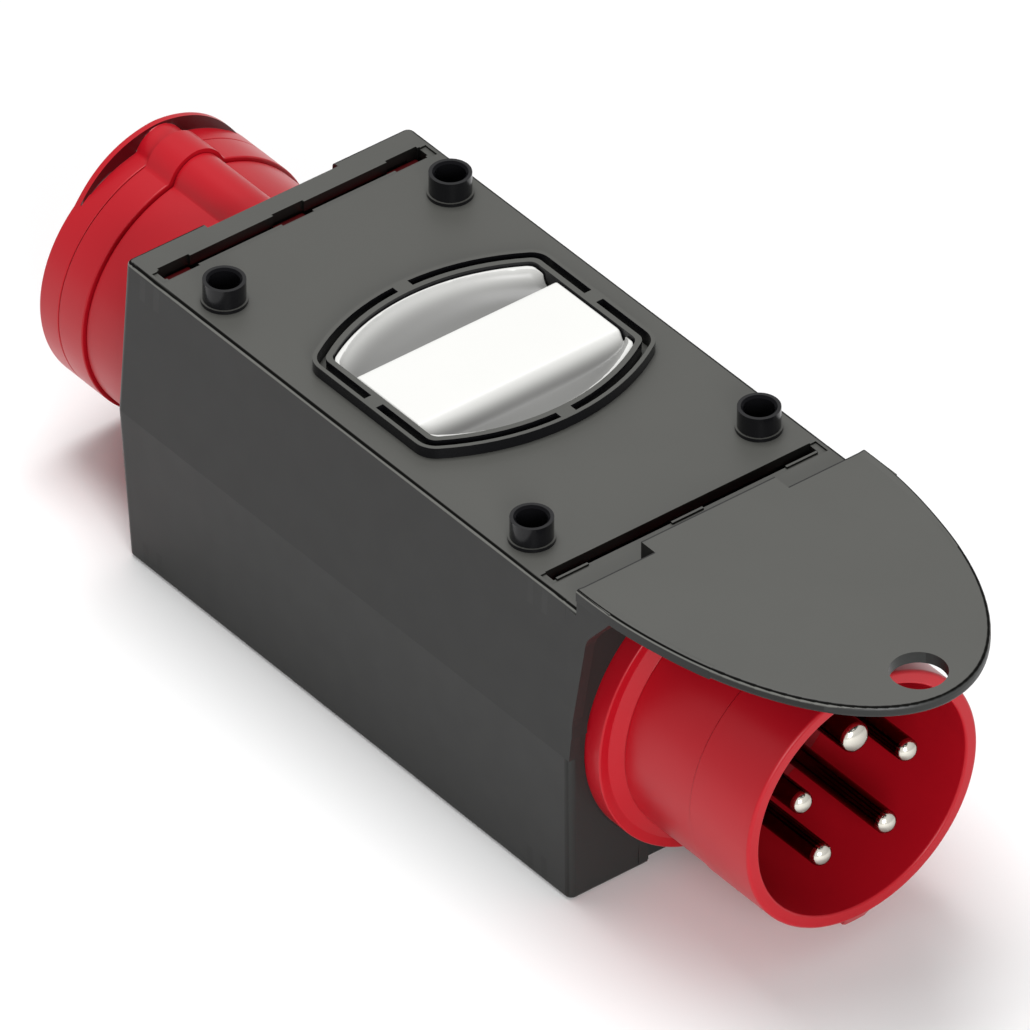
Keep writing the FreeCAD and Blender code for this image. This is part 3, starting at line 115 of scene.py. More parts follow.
def coordinate(tree, output="Object"):
    """Object is the place on the object in metres, and Normal the way its face turns."""
    return tree.nodes.new("ShaderNodeTexCoord").outputs[output]


def split_axes(tree, vector):
    split = tree.nodes.new("ShaderNodeSeparateXYZ")
    tree.links.new(vector, split.inputs[0])
    return split.outputs["X"], split.outputs["Y"], split.outputs["Z"]


def vector_math(tree, operation, vector, constant=(0, 0, 0)):
    node = tree.nodes.new("ShaderNodeVectorMath")
    node.operation = operation
    node.inputs[1].default_value = constant
    tree.links.new(vector, node.inputs[0])
    return node.outputs["Value" if operation == "LENGTH" else "Vector"]


def on_value(tree, operation, value, number=0.0):
    """One operation on a value. A comparison gives 1 where it holds and 0 elsewhere."""
    node = tree.nodes.new("ShaderNodeMath")
    node.operation = operation
    node.inputs[1].default_value = number
    tree.links.new(value, node.inputs[0])
    return node.outputs[0]


def both(tree, first, second, operation="MULTIPLY"):
    """1 where both shares are 1. With MAXIMUM, 1 where either is."""
    node = tree.nodes.new("ShaderNodeMath")
    node.operation = operation
    tree.links.new(first, node.inputs[0])
    tree.links.new(second, node.inputs[1])
    return node.outputs[0]


def above(tree, value, limit_mm):
    return on_value(tree, "GREATER_THAN", value, limit_mm * MM)


def below(tree, value, limit_mm):
    return on_value(tree, "LESS_THAN", value, limit_mm * MM)


def band(tree, value, low_mm, high_mm):
    """1 where low < value < high."""
    return both(tree, above(tree, value, low_mm), below(tree, value, high_mm))


def smooth_range(tree, value, from_low, from_high, to_low, to_high):
    """Maps one range onto another along a smooth step, 3t^2 - 2t^3."""
    node = tree.nodes.new("ShaderNodeMapRange")
    node.interpolation_type = "SMOOTHSTEP"
    node.inputs["From Min"].default_value = from_low
    node.inputs["From Max"].default_value = from_high
    node.inputs["To Min"].default_value = to_low
    node.inputs["To Max"].default_value = to_high
    tree.links.new(value, node.inputs["Value"])
    return node.outputs["Result"]


def mix_colours(tree, first, second, share, blend="MIX"):
    """Mixes two colours by a share. Each of the three is a node's output or a plain value."""
    mix = tree.nodes.new("ShaderNodeMix")
    mix.data_type = "RGBA"
    mix.blend_type = blend
    for number, value in ((6, first), (7, second), (0, share)):
        if isinstance(value, bpy.types.NodeSocket):
            tree.links.new(value, mix.inputs[number])
        else:
            mix.inputs[number].default_value = value
    return mix.outputs[2]


def pick(tree, share, before, colour):
    """Result = before where share is 0, colour where it is 1."""
    return mix_colours(tree, before, (*colour, 1), share)


def source_of(shader, name):
    """The output that feeds one of the shader's sockets."""
    return shader.inputs[name].links[0].from_socket


def add_bump(tree, shader, height, depth_mm):
    bump = tree.nodes.new("ShaderNodeBump")
    bump.inputs["Strength"].default_value = 1.0
    bump.inputs["Distance"].default_value = depth_mm * MM
    tree.links.new(height, bump.inputs["Height"])
    tree.links.new(bump.outputs["Normal"], shader.inputs["Normal"])


NOISE_LOW = 0.15
NOISE_HIGH = 0.85


def add_noise(tree, size_mm, detail=2.0):
    """Noise with cells of about size_mm, on Object coordinates, which are metres here."""
    noise = tree.nodes.new("ShaderNodeTexNoise")
    noise.inputs["Scale"].default_value = 1.0 / (size_mm * MM)
    noise.inputs["Detail"].default_value = detail
    tree.links.new(coordinate(tree), noise.inputs["Vector"])
    return noise.outputs["Fac"]


def spread(tree, noise, low, high):
    """The noise's usual range, NOISE_LOW to NOISE_HIGH, becomes low to high."""
    return smooth_range(tree, noise, NOISE_LOW, NOISE_HIGH, low, high)


print("shader helpers ready")


# %% [markdown]
# Real mouldings are never one flat colour. The black housing gets a fine grain, and the red
# connectors are smoother and shine. Each finish below is noise on the object's own coordinates,
# which drives a small bump and a change in roughness. Painted shade is laid in by place, and
# painted light, shade and reflection by the way the face turns.

# %% Finishes
SLOW_NOISE = 26.0
ROUGH_NOISE = 9.0
ROUGH_CHANGE = 0.02
TURNED_DEPTH = 0.004
TURNED_ACROSS = 60.0

POLISHED_BLACK = (0.006, 0.006, 0.007)
POLISHED_ROUGH = (0.2, 0.2, 0.2)
# Painted shade lines on the hood's top.
CREASE_SHADE_BLACK = (0.006, 0.006, 0.006)
# Painted light level for housing faces that turn forward.
FRONT_PAINTED_GREY = (0.020, 0.021, 0.020)
# Painted shade in the lid's scoops.
SCOOP_SHADE_RED = (0.03, 0.001, 0.002)
# Painted shade under the lid's lip.
LIP_SHADE_RED = (0.07, 0.001, 0.003)
# Painted reflection of the dark red shroud on the pin shanks.
SHANK_REFLECTION_RED = (0.10, 0.012, 0.012)
# Painted shade at the rims of the pins, where they turn away from the view.
NICKEL_RIM_SHADE = (0.10, 0.085, 0.07)

# Each stop: the upward part of the normal, the colour's painted light level and the painted shine.
HOUSING_LIGHT_STOPS = ((0.0, 0.009, 0.25), (0.18, 0.009, 0.25), (0.36, 0.13, 0.5), (0.60, 0.13, 0.5),
                 (0.70, 0.004, 0.02), (0.95, 0.004, 0.02), (0.985, 0.074, 0.3), (1.0, 0.074, 0.3))


def moulded(name, colour, rough, grain_mm, grain_depth_mm, tint=0.06, coat=0.0, shine=0.5):
    """A moulded plastic: its grain as bump, and slow changes of colour and roughness."""
    material, tree, shader = new_material(name)
    shader.inputs["Specular IOR Level"].default_value = shine
    shader.inputs["Coat Weight"].default_value = coat
    shader.inputs["Coat Roughness"].default_value = 0.18
    darker = (*[c * (1 - tint) for c in colour], 1)
    lighter = (*[min(c * (1 + tint), 1) for c in colour], 1)
    share = spread(tree, add_noise(tree, SLOW_NOISE, 3.0), 0, 1)
    tree.links.new(mix_colours(tree, darker, lighter, share), shader.inputs["Base Color"])
    tree.links.new(spread(tree, add_noise(tree, ROUGH_NOISE), rough - ROUGH_CHANGE,
                          rough + ROUGH_CHANGE), shader.inputs["Roughness"])
    add_bump(tree, shader, add_noise(tree, grain_mm), grain_depth_mm)
    return material


def metal(name, colour, rough, line_mm, axis):
    """A turned metal: fine rings across the turning axis, from stretched noise."""
    material, tree, shader = new_material(name)
    shader.inputs["Base Color"].default_value = (*colour, 1)
    shader.inputs["Metallic"].default_value = 1.0
    stretch = tree.nodes.new("ShaderNodeMapping")
    scale = [TURNED_ACROSS] * 3
    scale[axis] = 1.0 / (line_mm * MM)
    stretch.inputs["Scale"].default_value = scale
    noise = tree.nodes.new("ShaderNodeTexNoise")
    noise.inputs["Scale"].default_value = 1.0
    tree.links.new(coordinate(tree), stretch.inputs["Vector"])
    tree.links.new(stretch.outputs["Vector"], noise.inputs["Vector"])
    tree.links.new(spread(tree, noise.outputs["Fac"], rough - 0.05, rough + 0.07),
                   shader.inputs["Roughness"])
    add_bump(tree, shader, noise.outputs["Fac"], TURNED_DEPTH)
    return material


def paint_scoop_shade(material):
    """Painted shade in the lid's scoops and on the inside of its lip.

    Radius = sqrt(y^2 + (z - axis height)^2). As it falls from 35.9 to 34.4, the colour goes four
    fifths of the way to a dark red, for x between the lip and the skirt, on the upper side.
    """
    tree, shader = shader_of(material)
    centred = vector_math(tree, "SUBTRACT", coordinate(tree), (0, 0, AXIS_HEIGHT * MM))
    radius = vector_math(tree, "LENGTH", vector_math(tree, "MULTIPLY", centred, (0, 1, 1)))
    along, _, up = split_axes(tree, centred)
    sunk = smooth_range(tree, radius, 35.9 * MM, 34.4 * MM, 0.0, 0.8)
    zone = both(tree, band(tree, along, -152.8, -147.4), above(tree, up, 20))
    scooped = pick(tree, both(tree, zone, sunk), source_of(shader, "Base Color"), SCOOP_SHADE_RED)
    facing, _, _ = split_axes(tree, coordinate(tree, "Normal"))
    lip_inside = both(tree, on_value(tree, "GREATER_THAN", facing, 0.5),
                      below(tree, along, -151.8))
    tree.links.new(pick(tree, lip_inside, scooped, LIP_SHADE_RED), shader.inputs["Base Color"])


def paint_rim_shade(material, colour):
    """Painted shade: a bright metal's colour goes darker where its face turns away from the view; the
    share is the facing weight.
    """
    tree, shader = shader_of(material)
    facing = tree.nodes.new("ShaderNodeLayerWeight")
    facing.inputs["Blend"].default_value = 0.55
    bright = tuple(shader.inputs["Base Color"].default_value)
    tree.links.new(mix_colours(tree, bright, (*colour, 1), facing.outputs["Facing"]),
                   shader.inputs["Base Color"])


def paint_shank_reflection(material):
    """Painted reflection: the shanks take a dark red from x = 76.9 to 119.2, for the shroud mirrored
    in them.
    """
    tree, shader = shader_of(material)
    along, _, _ = split_axes(tree, coordinate(tree))
    tree.links.new(pick(tree, band(tree, along, 76.9, 119.2), source_of(shader, "Base Color"),
                        SHANK_REFLECTION_RED), shader.inputs["Base Color"])


def hood_crease_shade(tree, along, across, up):
    """Painted shade: fine dark lines, 0.45 mm wide, on the hood's top along its back edges.

    They are at x = 68.7, and at x = 63.5 between y = -20.5 and 20.5.
    """
    out = on_value(tree, "ABSOLUTE", across)
    back = both(tree, band(tree, along, 68.70, 69.15), band(tree, out, 20.5, 44.2))
    tongue = both(tree, band(tree, along, 63.50, 63.95), band(tree, out, -1.0, 20.5))
    return both(tree, both(tree, back, tongue, "MAXIMUM"), above(tree, up, 96.9))


def paint_housing_light_and_shade(material):
    """Painted light, shade and shine by the upward part of the normal, with polished bosses and rims.

    Sides are painted dark and the roof a lighter grey. A rounded edge between them has a painted
    highlight line below a painted shade line, the darkest. What faces forward beyond x = 60 gets a
    plain painted grey. Above z = 90.75 and behind x = 50, what doesn't face up is polished. The
    bosses, which alone reach z = 94 there, are polished all over.
    """
    tree, shader = shader_of(material)
    along, across, up = split_axes(tree, coordinate(tree))
    forward, _, upward = split_axes(tree, coordinate(tree, "Normal"))
    ramp = tree.nodes.new("ShaderNodeValToRGB")
    stops = ramp.color_ramp.elements
    for number, (where, level, shine) in enumerate(HOUSING_LIGHT_STOPS):
        stop = stops[number] if number < 2 else stops.new(where)
        stop.position = where
        stop.color = (level, level * 1.005, level * 0.92, shine)
    tree.links.new(ramp.outputs["Alpha"], shader.inputs["Specular IOR Level"])
    tree.links.new(upward, ramp.inputs["Fac"])
    shaded = mix_colours(tree, source_of(shader, "Base Color"), ramp.outputs["Color"], 1.0,
                         "MULTIPLY")
    front = both(tree, on_value(tree, "GREATER_THAN", forward, 0.6), above(tree, along, 60))
    fronted = pick(tree, front, shaded, FRONT_PAINTED_GREY)
    lined = pick(tree, hood_crease_shade(tree, along, across, up), fronted, CREASE_SHADE_BLACK)
    upright = on_value(tree, "LESS_THAN", upward, 0.8)
    raised = both(tree, above(tree, up, 90.75), below(tree, along, 50))
    polished = both(tree, raised, both(tree, upright, above(tree, up, 94), "MAXIMUM"))
    rough = source_of(shader, "Roughness")
    tree.links.new(pick(tree, polished, lined, POLISHED_BLACK), shader.inputs["Base Color"])
    tree.links.new(pick(tree, polished, rough, POLISHED_ROUGH), shader.inputs["Roughness"])


def paint_shade_by_height(material, low_mm, high_mm, low_share, high_share):
    """Painted shade by height: colour times low_share below low_mm and times high_share above
    high_mm.
    """
    tree, shader = shader_of(material)
    _, _, up = split_axes(tree, coordinate(tree))
    share = smooth_range(tree, up, low_mm * MM, high_mm * MM, low_share, high_share)
    tree.links.new(mix_colours(tree, source_of(shader, "Base Color"), share, 1.0, "MULTIPLY"),
                   shader.inputs["Base Color"])


HOUSING = moulded("housing_black", (0.96, 0.96, 0.96), 0.42, 0.5, 0.008, 0.03)
# Painted light, shade and shine on the housing, by the way each face turns.
paint_housing_light_and_shade(HOUSING)
RED = moulded("connector_red", (0.44, 0.005, 0.013), 0.34, 1.4, 0.002, 0.04, 0.0, 0.28)
# Painted shade on the rear plate's lugs, the only red above z = 86.6.
paint_shade_by_height(RED, 86.55, 86.6, 1.0, 0.12)
# Painted shade in the lid's scoops and under its lip.
paint_scoop_shade(RED)
WHITE = moulded("carrier_white", (0.74, 0.74, 0.72), 0.34, 1.2, 0.002, 0.01, 0.0, 0.4)
# Painted shade: the carrier's grip gets darker lower down, into its scoops.
paint_shade_by_height(WHITE, 88.2, 93.3, 0.28, 1.0)
NICKEL = metal("nickel", (0.80, 0.77, 0.69), 0.16, 0.25, 0)
# Painted shade at the pins' rims.
paint_rim_shade(NICKEL, NICKEL_RIM_SHADE)
# Painted reflection on the pin shanks.
paint_shank_reflection(NICKEL)

FINISHES = {
    "housing_black": HOUSING, "connector_red": RED, "carrier_white": WHITE, "nickel": NICKEL,
    "block_dark_red": moulded("block_dark_red", (0.20, 0.010, 0.014), 0.45, 0.7, 0.010),
    "block_grey": moulded("block_grey", (0.26, 0.27, 0.28), 0.45, 0.7, 0.010),
    "base_grey": moulded("base_grey", (0.36, 0.37, 0.36), 0.5, 0.8, 0.012),
    "ceramic_white": moulded("ceramic_white", (0.74, 0.72, 0.66), 0.22, 2.0, 0.006, 0.03, 0.4),
    "seal_rubber": moulded("seal_rubber", (0.02, 0.02, 0.02), 0.75, 0.4, 0.02),
    "brass": metal("brass", (0.70, 0.52, 0.26), 0.28, 0.3, 0),
    "steel": metal("steel", (0.58, 0.58, 0.57), 0.30, 0.3, 2)}
WIRES = {"wire_brown": (0.14, 0.06, 0.03), "wire_black": (0.025, 0.025, 0.025),
         "wire_grey": (0.32, 0.32, 0.32), "wire_blue": (0.04, 0.14, 0.42),
         "wire_green": (0.08, 0.32, 0.07)}
for wire, colour in WIRES.items():
    FINISHES[wire] = moulded(wire, colour, 0.5, 0.6, 0.01)


def finish_cad_nodes():
    """Each carried-over node takes the finish that the record names for it."""
    rows = frame["record"]["subparts"]
    for row in rows:
        data = NODES[row["node"]].data
        data.materials.clear()
        data.materials.append(FINISHES[row["material_slot"]])
    print("finished", len(rows), "nodes")


finish_cad_nodes()


# %% [markdown]
# Most visible pieces are surfaces of turning: a section carried round the connector's axis. The
# helpers below round a section's corners with true arcs, carry it round, and let its radius depend
# on the angle, for a ridge or a keyway.

# %% Helpers for surfaces
TOP = math.pi / 2
SMALL_ANGLE = 40.0


def rounded_section(corners, steps=6):
    """Corners (x, r, radius): each is replaced by the arc that touches both its sides.

    The arc starts radius * tan(turn / 2) before the corner and ends as far after it.
    """
    made = []
    points = np.array([corner[:2] for corner in corners], float)
    for number, (_, _, radius) in enumerate(corners):
        here = points[number]
        into = here - points[number - 1]
        out = points[(number + 1) % len(points)] - here
        into_length, out_length = np.hypot(*into), np.hypot(*out)
        into, out = into / into_length, out / out_length
        turn = math.acos(np.clip(into @ out, -1, 1))
        if radius <= 0 or turn < 1e-3:
            made.append(here[None])
            continue
        trim = min(radius * math.tan(turn / 2), 0.45 * into_length, 0.45 * out_length)
        radius = trim / math.tan(turn / 2)
        inward = (out - into) / np.linalg.norm(out - into)
        centre = here + inward * radius / math.cos(turn / 2)
        sweep = np.linspace(-turn / 2, turn / 2, steps + 1)[:, None]
        side = (out + into) / np.linalg.norm(out + into)
        made.append(centre + radius * (np.sin(sweep) * side - np.cos(sweep) * inward))
    return np.concatenate(made)


def angles_round(extra_half=18.0, coarse=220, fine=120):
    """Angles round the axis, closer together near the top, where the ridge and key stand."""
    half = math.radians(extra_half)
    near_top = np.linspace(TOP - half, TOP + half, fine, endpoint=False)
    rest = np.linspace(TOP + half, TOP - half + 2 * math.pi, coarse, endpoint=False)
    return np.concatenate([near_top, rest])


def mesh_object(name, points, close_rows, close_columns, material, smooth_angle=28.0):
    """Quads between neighbouring points of a grid, then doubled points merged at the poles."""
    rows, columns = points.shape[:2]
    row = np.arange(rows if close_rows else rows - 1)[:, None]
    column = np.arange(columns if close_columns else columns - 1)[None]
    next_row = (row + 1) % rows
    next_column = (column + 1) % columns
    quads = np.stack([row * columns + column, row * columns + next_column,
                      next_row * columns + next_column, next_row * columns + column], -1)
    data = bpy.data.meshes.new(name)
    data.from_pydata((points.reshape(-1, 3) * MM).tolist(), [], quads.reshape(-1, 4).tolist())
    return finish_mesh(name, data, material, smooth_angle)


def finish_mesh(name, data, material, smooth_angle):
    """Merges doubled points, turns faces outwards and shades smooth below an angle."""
    work = bmesh.new()
    work.from_mesh(data)
    bmesh.ops.remove_doubles(work, verts=work.verts, dist=1e-6)
    bmesh.ops.recalc_face_normals(work, faces=work.faces)
    work.to_mesh(data)
    work.free()
    data.shade_smooth()
    data.set_sharp_from_angle(angle=math.radians(smooth_angle))
    data.materials.append(material)
    made = new_object(name, data)
    weigh = made.modifiers.new("even_shading", "WEIGHTED_NORMAL")
    weigh.keep_sharp = True
    print("made", name, len(data.polygons), "faces")
    return made


def spun(section, angles):
    """The section's place and radius at each angle, and the angle, as grids of one shape."""
    grid = np.zeros((len(angles), len(section)))
    return section[None, :, 0] + grid, section[None, :, 1] + grid, angles[:, None] + grid


def turned(name, section, material, radius_at=None, angles=None, closed=True):
    """Point = (x, r cos a, axis height + r sin a), with r changed by radius_at(x, r, a).

    A section that isn't closed starts and ends on the axis.
    """
    x, r, a = spun(section, angles_round() if angles is None else angles)
    if radius_at is not None:
        r = radius_at(x, r, a)
    points = np.stack([x, r * np.cos(a), AXIS_HEIGHT + r * np.sin(a)], -1)
    return mesh_object(name, points, True, closed, material)


FULL_TURN = np.linspace(0, 2 * math.pi, 64, endpoint=False)


def smooth_max(first, second, width):
    """The larger of two, with a fillet of about that width where they cross."""
    return 0.5 * (first + second + np.sqrt((first - second) ** 2 + width ** 2))


def ease(value, low, high):
    """0 below low, 1 above high, and 3t^2 - 2t^3 between."""
    share = np.clip((value - low) / (high - low), 0, 1)
    return share * share * (3 - 2 * share)


def off_top(angle):
    """The angle away from the top, between -pi and pi."""
    return (angle - TOP + math.pi) % (2 * math.pi) - math.pi


def put_on(piece, body, slot, *nodes):
    """The piece moves with a body and stands for the nodes, which it hides. The slot is not used."""
    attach(piece, body)
    if nodes:
        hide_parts(*nodes)


# %% [markdown]
# The plug's shroud is one turned moulding: a sleeve inside the housing, a flange that closes the
# opening, a cove, and the barrel with a fine seam where the core of the mould ended. A key stands
# on top, so the section's radius is raised there.

# %% Plug shroud
X_FRONT = 68.05
PLUG_RADIUS = 35.5
PLUG_BORE = 31.9
PLUG_REACH = 55.3
FLANGE_RADIUS = 41.0
FLANGE_BACK = 5.0
FLANGE_FRONT = 5.5
SEAL_FLOOR = 39.4
SEAL_BACK = 2.6
SEAL_FRONT = 0.4
SLEEVE_BACK = 22.5
SLEEVE_RADIUS = 34.0
SLEEVE_BORE = 27.0
BLOCK_DEPTH = 15.0
SEAM_STEP = 0.3
SEAM_BACK = 32.8
SEAM_FRONT = 33.2
KEY_HALF = 4.0
KEY_HEIGHT = 3.0
KEY_BACK = 8.2
KEY_SHORT = 1.5


def plug_radius_at(x, r, a):
    """Outer wall: raised by the key where |y| < half its width; elsewhere unchanged."""
    across = r * np.sin(off_top(a))
    key = 1 - ease(np.abs(across), KEY_HALF - 0.5, KEY_HALF + 0.1)
    start = ease(x, X_FRONT + KEY_BACK, X_FRONT + KEY_BACK + 0.6)
    key_end = X_FRONT + PLUG_REACH - KEY_SHORT
    stop = 1 - ease(x, key_end - 0.9, key_end)
    outside = ease(r, PLUG_RADIUS - 1.2, PLUG_RADIUS - 0.5)
    below_flange = 1 - ease(r, PLUG_RADIUS + 1, PLUG_RADIUS + 2)
    return r + KEY_HEIGHT * key * start * stop * outside * below_flange


def plug_section():
    """The shroud's half section, round the wall once, as x and radius with corner radii."""
    x = X_FRONT
    end = x + PLUG_REACH
    barrel = PLUG_RADIUS - SEAM_STEP
    sleeve = [(x - SLEEVE_BACK, SLEEVE_BORE, 0.3), (x - SLEEVE_BACK, SLEEVE_RADIUS, 0.3),
              (x - FLANGE_BACK, SLEEVE_RADIUS, 0)]
    seal_groove = [(x - SEAL_BACK, FLANGE_RADIUS, 0), (x - SEAL_BACK, SEAL_FLOOR, 0),
                   (x - SEAL_FRONT, SEAL_FLOOR, 0), (x - SEAL_FRONT, FLANGE_RADIUS, 0)]
    cove = [(x + FLANGE_FRONT, 38.4, 0.6), (x + 7.6, 34.9, 1.4), (x + 8.0, barrel, 0.25)]
    outside = [(x + 8.9, barrel, 0), (x + SEAM_BACK, barrel, 0.1),
               (x + SEAM_FRONT, PLUG_RADIUS, 0.1), (end - 2.6, PLUG_RADIUS, 0)]
    rim = [(end, PLUG_RADIUS, 0.9), (end, PLUG_BORE, 0.7)]
    floor = [(x - BLOCK_DEPTH, PLUG_BORE, 0), (x - BLOCK_DEPTH, SLEEVE_BORE, 0.3)]
    return rounded_section(sleeve + [(x - FLANGE_BACK, FLANGE_RADIUS, 0.3)] + seal_groove
                           + [(x + FLANGE_FRONT, FLANGE_RADIUS, 0.5)] + cove + outside + rim
                           + floor)


put_on(turned("plug_shroud_shell", plug_section(), RED, plug_radius_at),
       "adapter", "connector_red", "plug_shroud")


# %% [markdown]
# Each connector has a flat plate that drops into a slot of the housing and holds it there. Of the
# rear one, three lugs show in the windows of the slot. The plate is a rectangle with a round hole,
# so its front is a grid between the circle and the rectangle.

# %% Slot plates
X_SLOT_FRONT = 53.7
X_SLOT_REAR = -98.6
WINDOW_PLACES = (-35.3, 0.0, 35.3)
PLATE_THICK = 3.1
PLATE_HALF = 40.6
PLATE_LOW = 3.0
PLATE_TOP = 85.6
FRONT_PLATE_TOP = 80.0
LUG_TOP = 87.0
LUG_HALF_X = 2.2
LUG_HALF_Y = 4.7
LUG_SUNK = 1.8
PLUG_PLATE_HOLE = 33.0
COUPLER_PLATE_HOLE = 34.8


def slot_plate(name, x, hole_radius, top):
    """Point on the outline at angle a = distance to the rectangle along (cos a, sin a)."""
    corner_angles = [math.atan2(z - AXIS_HEIGHT, y) for y in (PLATE_HALF, -PLATE_HALF)
                     for z in (PLATE_LOW, top)]
    a = np.unique(np.concatenate([np.linspace(-math.pi, math.pi, 180, endpoint=False),
                                  corner_angles]))
    up = np.where(np.sin(a) > 0, top - AXIS_HEIGHT, AXIS_HEIGHT - PLATE_LOW)
    with np.errstate(divide="ignore"):
        reach = np.minimum(PLATE_HALF / np.abs(np.cos(a)), up / np.abs(np.sin(a)))
    low, high = x - PLATE_THICK / 2, x + PLATE_THICK / 2
    loop = [(low, 0), (low, 1), (high, 1), (high, 0)]
    r = np.stack([hole_radius + share * (reach - hole_radius) for _, share in loop], 1)
    along = np.array([place for place, _ in loop])[None] + 0 * r
    points = np.stack([along, r * np.cos(a)[:, None], AXIS_HEIGHT + r * np.sin(a)[:, None]], -1)
    return mesh_object(name, points, True, True, RED)


def rounded_block(name, low, high, radius, material, steps=4):
    """A box whose edges and corners are rounded.

    Point = middle + (half - radius) * sign + radius * direction, over a sphere's directions.
    """
    low, high = np.array(low, float), np.array(high, float)
    middle, half = (low + high) / 2, (high - low) / 2
    quarter = np.linspace(0, math.pi / 2, steps + 1)
    turn = np.concatenate([quarter + k * math.pi / 2 for k in range(4)])
    turn_sign = np.repeat([[1, 1], [-1, 1], [-1, -1], [1, -1]], steps + 1, 0)
    rise = np.concatenate([quarter - math.pi / 2, quarter])
    rise_sign = np.repeat([-1, 1], steps + 1)
    rise, turn = rise[:, None], turn[None]
    direction = np.stack([np.cos(rise) * np.cos(turn), np.cos(rise) * np.sin(turn),
                          np.sin(rise) + 0 * turn], -1)
    sign = np.stack([turn_sign[:, 0] + 0 * rise, turn_sign[:, 1] + 0 * rise,
                     rise_sign[:, None] + 0 * turn], -1)
    points = middle + (half - radius) * sign + radius * direction
    pole = np.zeros((1,) + points.shape[1:])
    bottom = pole + [middle[0], middle[1], low[2]]
    top = pole + [middle[0], middle[1], high[2]]
    return mesh_object(name, np.concatenate([bottom, points, top]), False, True, material)


def join(name, pieces):
    """Joins pieces of one moulding into one object, keeping the first one's finish."""
    with bpy.context.temp_override(active_object=pieces[0], selected_editable_objects=pieces,
                                   selected_objects=pieces, object=pieces[0]):
        bpy.ops.object.join()
    pieces[0].name = name
    return pieces[0]


def rear_lugs():
    """One lug on the rear plate under each window of its slot."""
    x = X_SLOT_REAR
    return [rounded_block("coupler_lug_%d" % number,
                          (x - LUG_HALF_X, y - LUG_HALF_Y, PLATE_TOP - LUG_SUNK),
                          (x + LUG_HALF_X, y + LUG_HALF_Y, LUG_TOP), 0.3, RED)
            for number, y in enumerate(WINDOW_PLACES)]


put_on(slot_plate("plug_slot_plate", X_SLOT_FRONT, PLUG_PLATE_HOLE, FRONT_PLATE_TOP),
       "adapter", "connector_red", "plug_shroud")


# %% [markdown]
# The pins are turned brass with a bright nickel skin and a dome on the tip. The earth pin is
# thicker than the others.

# %% Pins
POLES = (("earth", 90), ("neutral", 18), ("phase_3", -54), ("phase_2", -126), ("phase_1", 162))
PIN_CIRCLE = 17.06
X_PIN_TIP = 122.05
X_BLOCK_FACE = 77.05
PIN_DOME = 2.5
X_PIN_BACK = 53.05
X_TERMINAL = X_PIN_BACK - 12.0
X_WIRE_HOLE = X_PIN_BACK - 4.0
WIRE_HOLE_RADIUS = 2.1
TERMINAL_RADIUS = 5.0
ROOT_EXTRA = 0.5
EARTH_RADIUS = 4.0
POLE_RADIUS = 3.0


def small_turned(name, section, y, z, material):
    """Point = (x, y + r cos a, z + r sin a): a section spun about a line along X."""
    x, r, a = spun(np.maximum(section, [-np.inf, 0]), FULL_TURN)
    points = np.stack([x, y + r * np.cos(a), z + r * np.sin(a)], -1)
    return mesh_object(name, points, True, False, material, SMALL_ANGLE)


def pin_section(radius):
    """Terminal, stout root, shank and dome, from the wire hole's floor to the tip."""
    root = radius + ROOT_EXTRA
    corners = [(X_WIRE_HOLE, 0.0, 0), (X_WIRE_HOLE, WIRE_HOLE_RADIUS, 0),
               (X_TERMINAL, WIRE_HOLE_RADIUS, 0), (X_TERMINAL, TERMINAL_RADIUS, 0.4),
               (X_PIN_BACK, TERMINAL_RADIUS, 0.4), (X_PIN_BACK, root, 0),
               (X_BLOCK_FACE, root, 0), (X_BLOCK_FACE, radius, 0)]
    turn = np.linspace(math.pi / 2, 0, 17)
    dome = np.stack([X_PIN_TIP - PIN_DOME * (1 - np.cos(turn)), radius * np.sin(turn)], 1)
    return np.concatenate([rounded_section(corners + [(X_PIN_TIP - PIN_DOME, 0.0, 0)], 12)[:-1],
                           dome])


for pole, degrees in POLES:
    angle = math.radians(degrees)
    radius = EARTH_RADIUS if pole == "earth" else POLE_RADIUS
    made = small_turned("bright_%s_pin" % pole, pin_section(radius), PIN_CIRCLE * math.cos(angle),
                        AXIS_HEIGHT + PIN_CIRCLE * math.sin(angle), NICKEL)
    put_on(made, "adapter", "nickel", pole + "_pin")


# %% [markdown]
# The coupler's barrel carries a round ridge on top, which hides the keyway for a mating plug. In
# the moulding the ridge meets the barrel in a soft fillet, so the two radii are blended.

# %% Coupler barrel
X_REAR = -110.45
COUPLER_RADIUS = 35.0
COLLAR_RADIUS = 36.0
X_SEAM = -137.15
X_SKIRT = -147.05
X_LID_END = -154.65
RIDGE_RADIUS = 7.2
RIDGE_CENTRE = 33.0
KEYWAY_HALF = 4.4
KEYWAY_TOP = 36.4
BARREL_BACK = 7.5
BARREL_BORE = 31.0
SPIGOT_RADIUS = 33.0
SPIGOT_REACH = 12.4
COUPLER_SEAL_FLOOR = 33.4
SEAM_GAP = 0.15
BACK_SLEEVE_FRONT = 7.55
BACK_SLEEVE_BACK = 20.0
BACK_SLEEVE_BORE = 27.0
SPIGOT_FIT = 0.05
COLLAR_CLEAR = 0.25


def ridge_radius(a, radius):
    """Distance to a circle of this radius, centred RIDGE_CENTRE up: c cos p + sqrt(q)."""
    away = off_top(a)
    inside = np.maximum(radius ** 2 - (RIDGE_CENTRE * np.sin(away)) ** 2, 0)
    return np.where(np.abs(away) < TOP, RIDGE_CENTRE * np.cos(away) + np.sqrt(inside), 0)


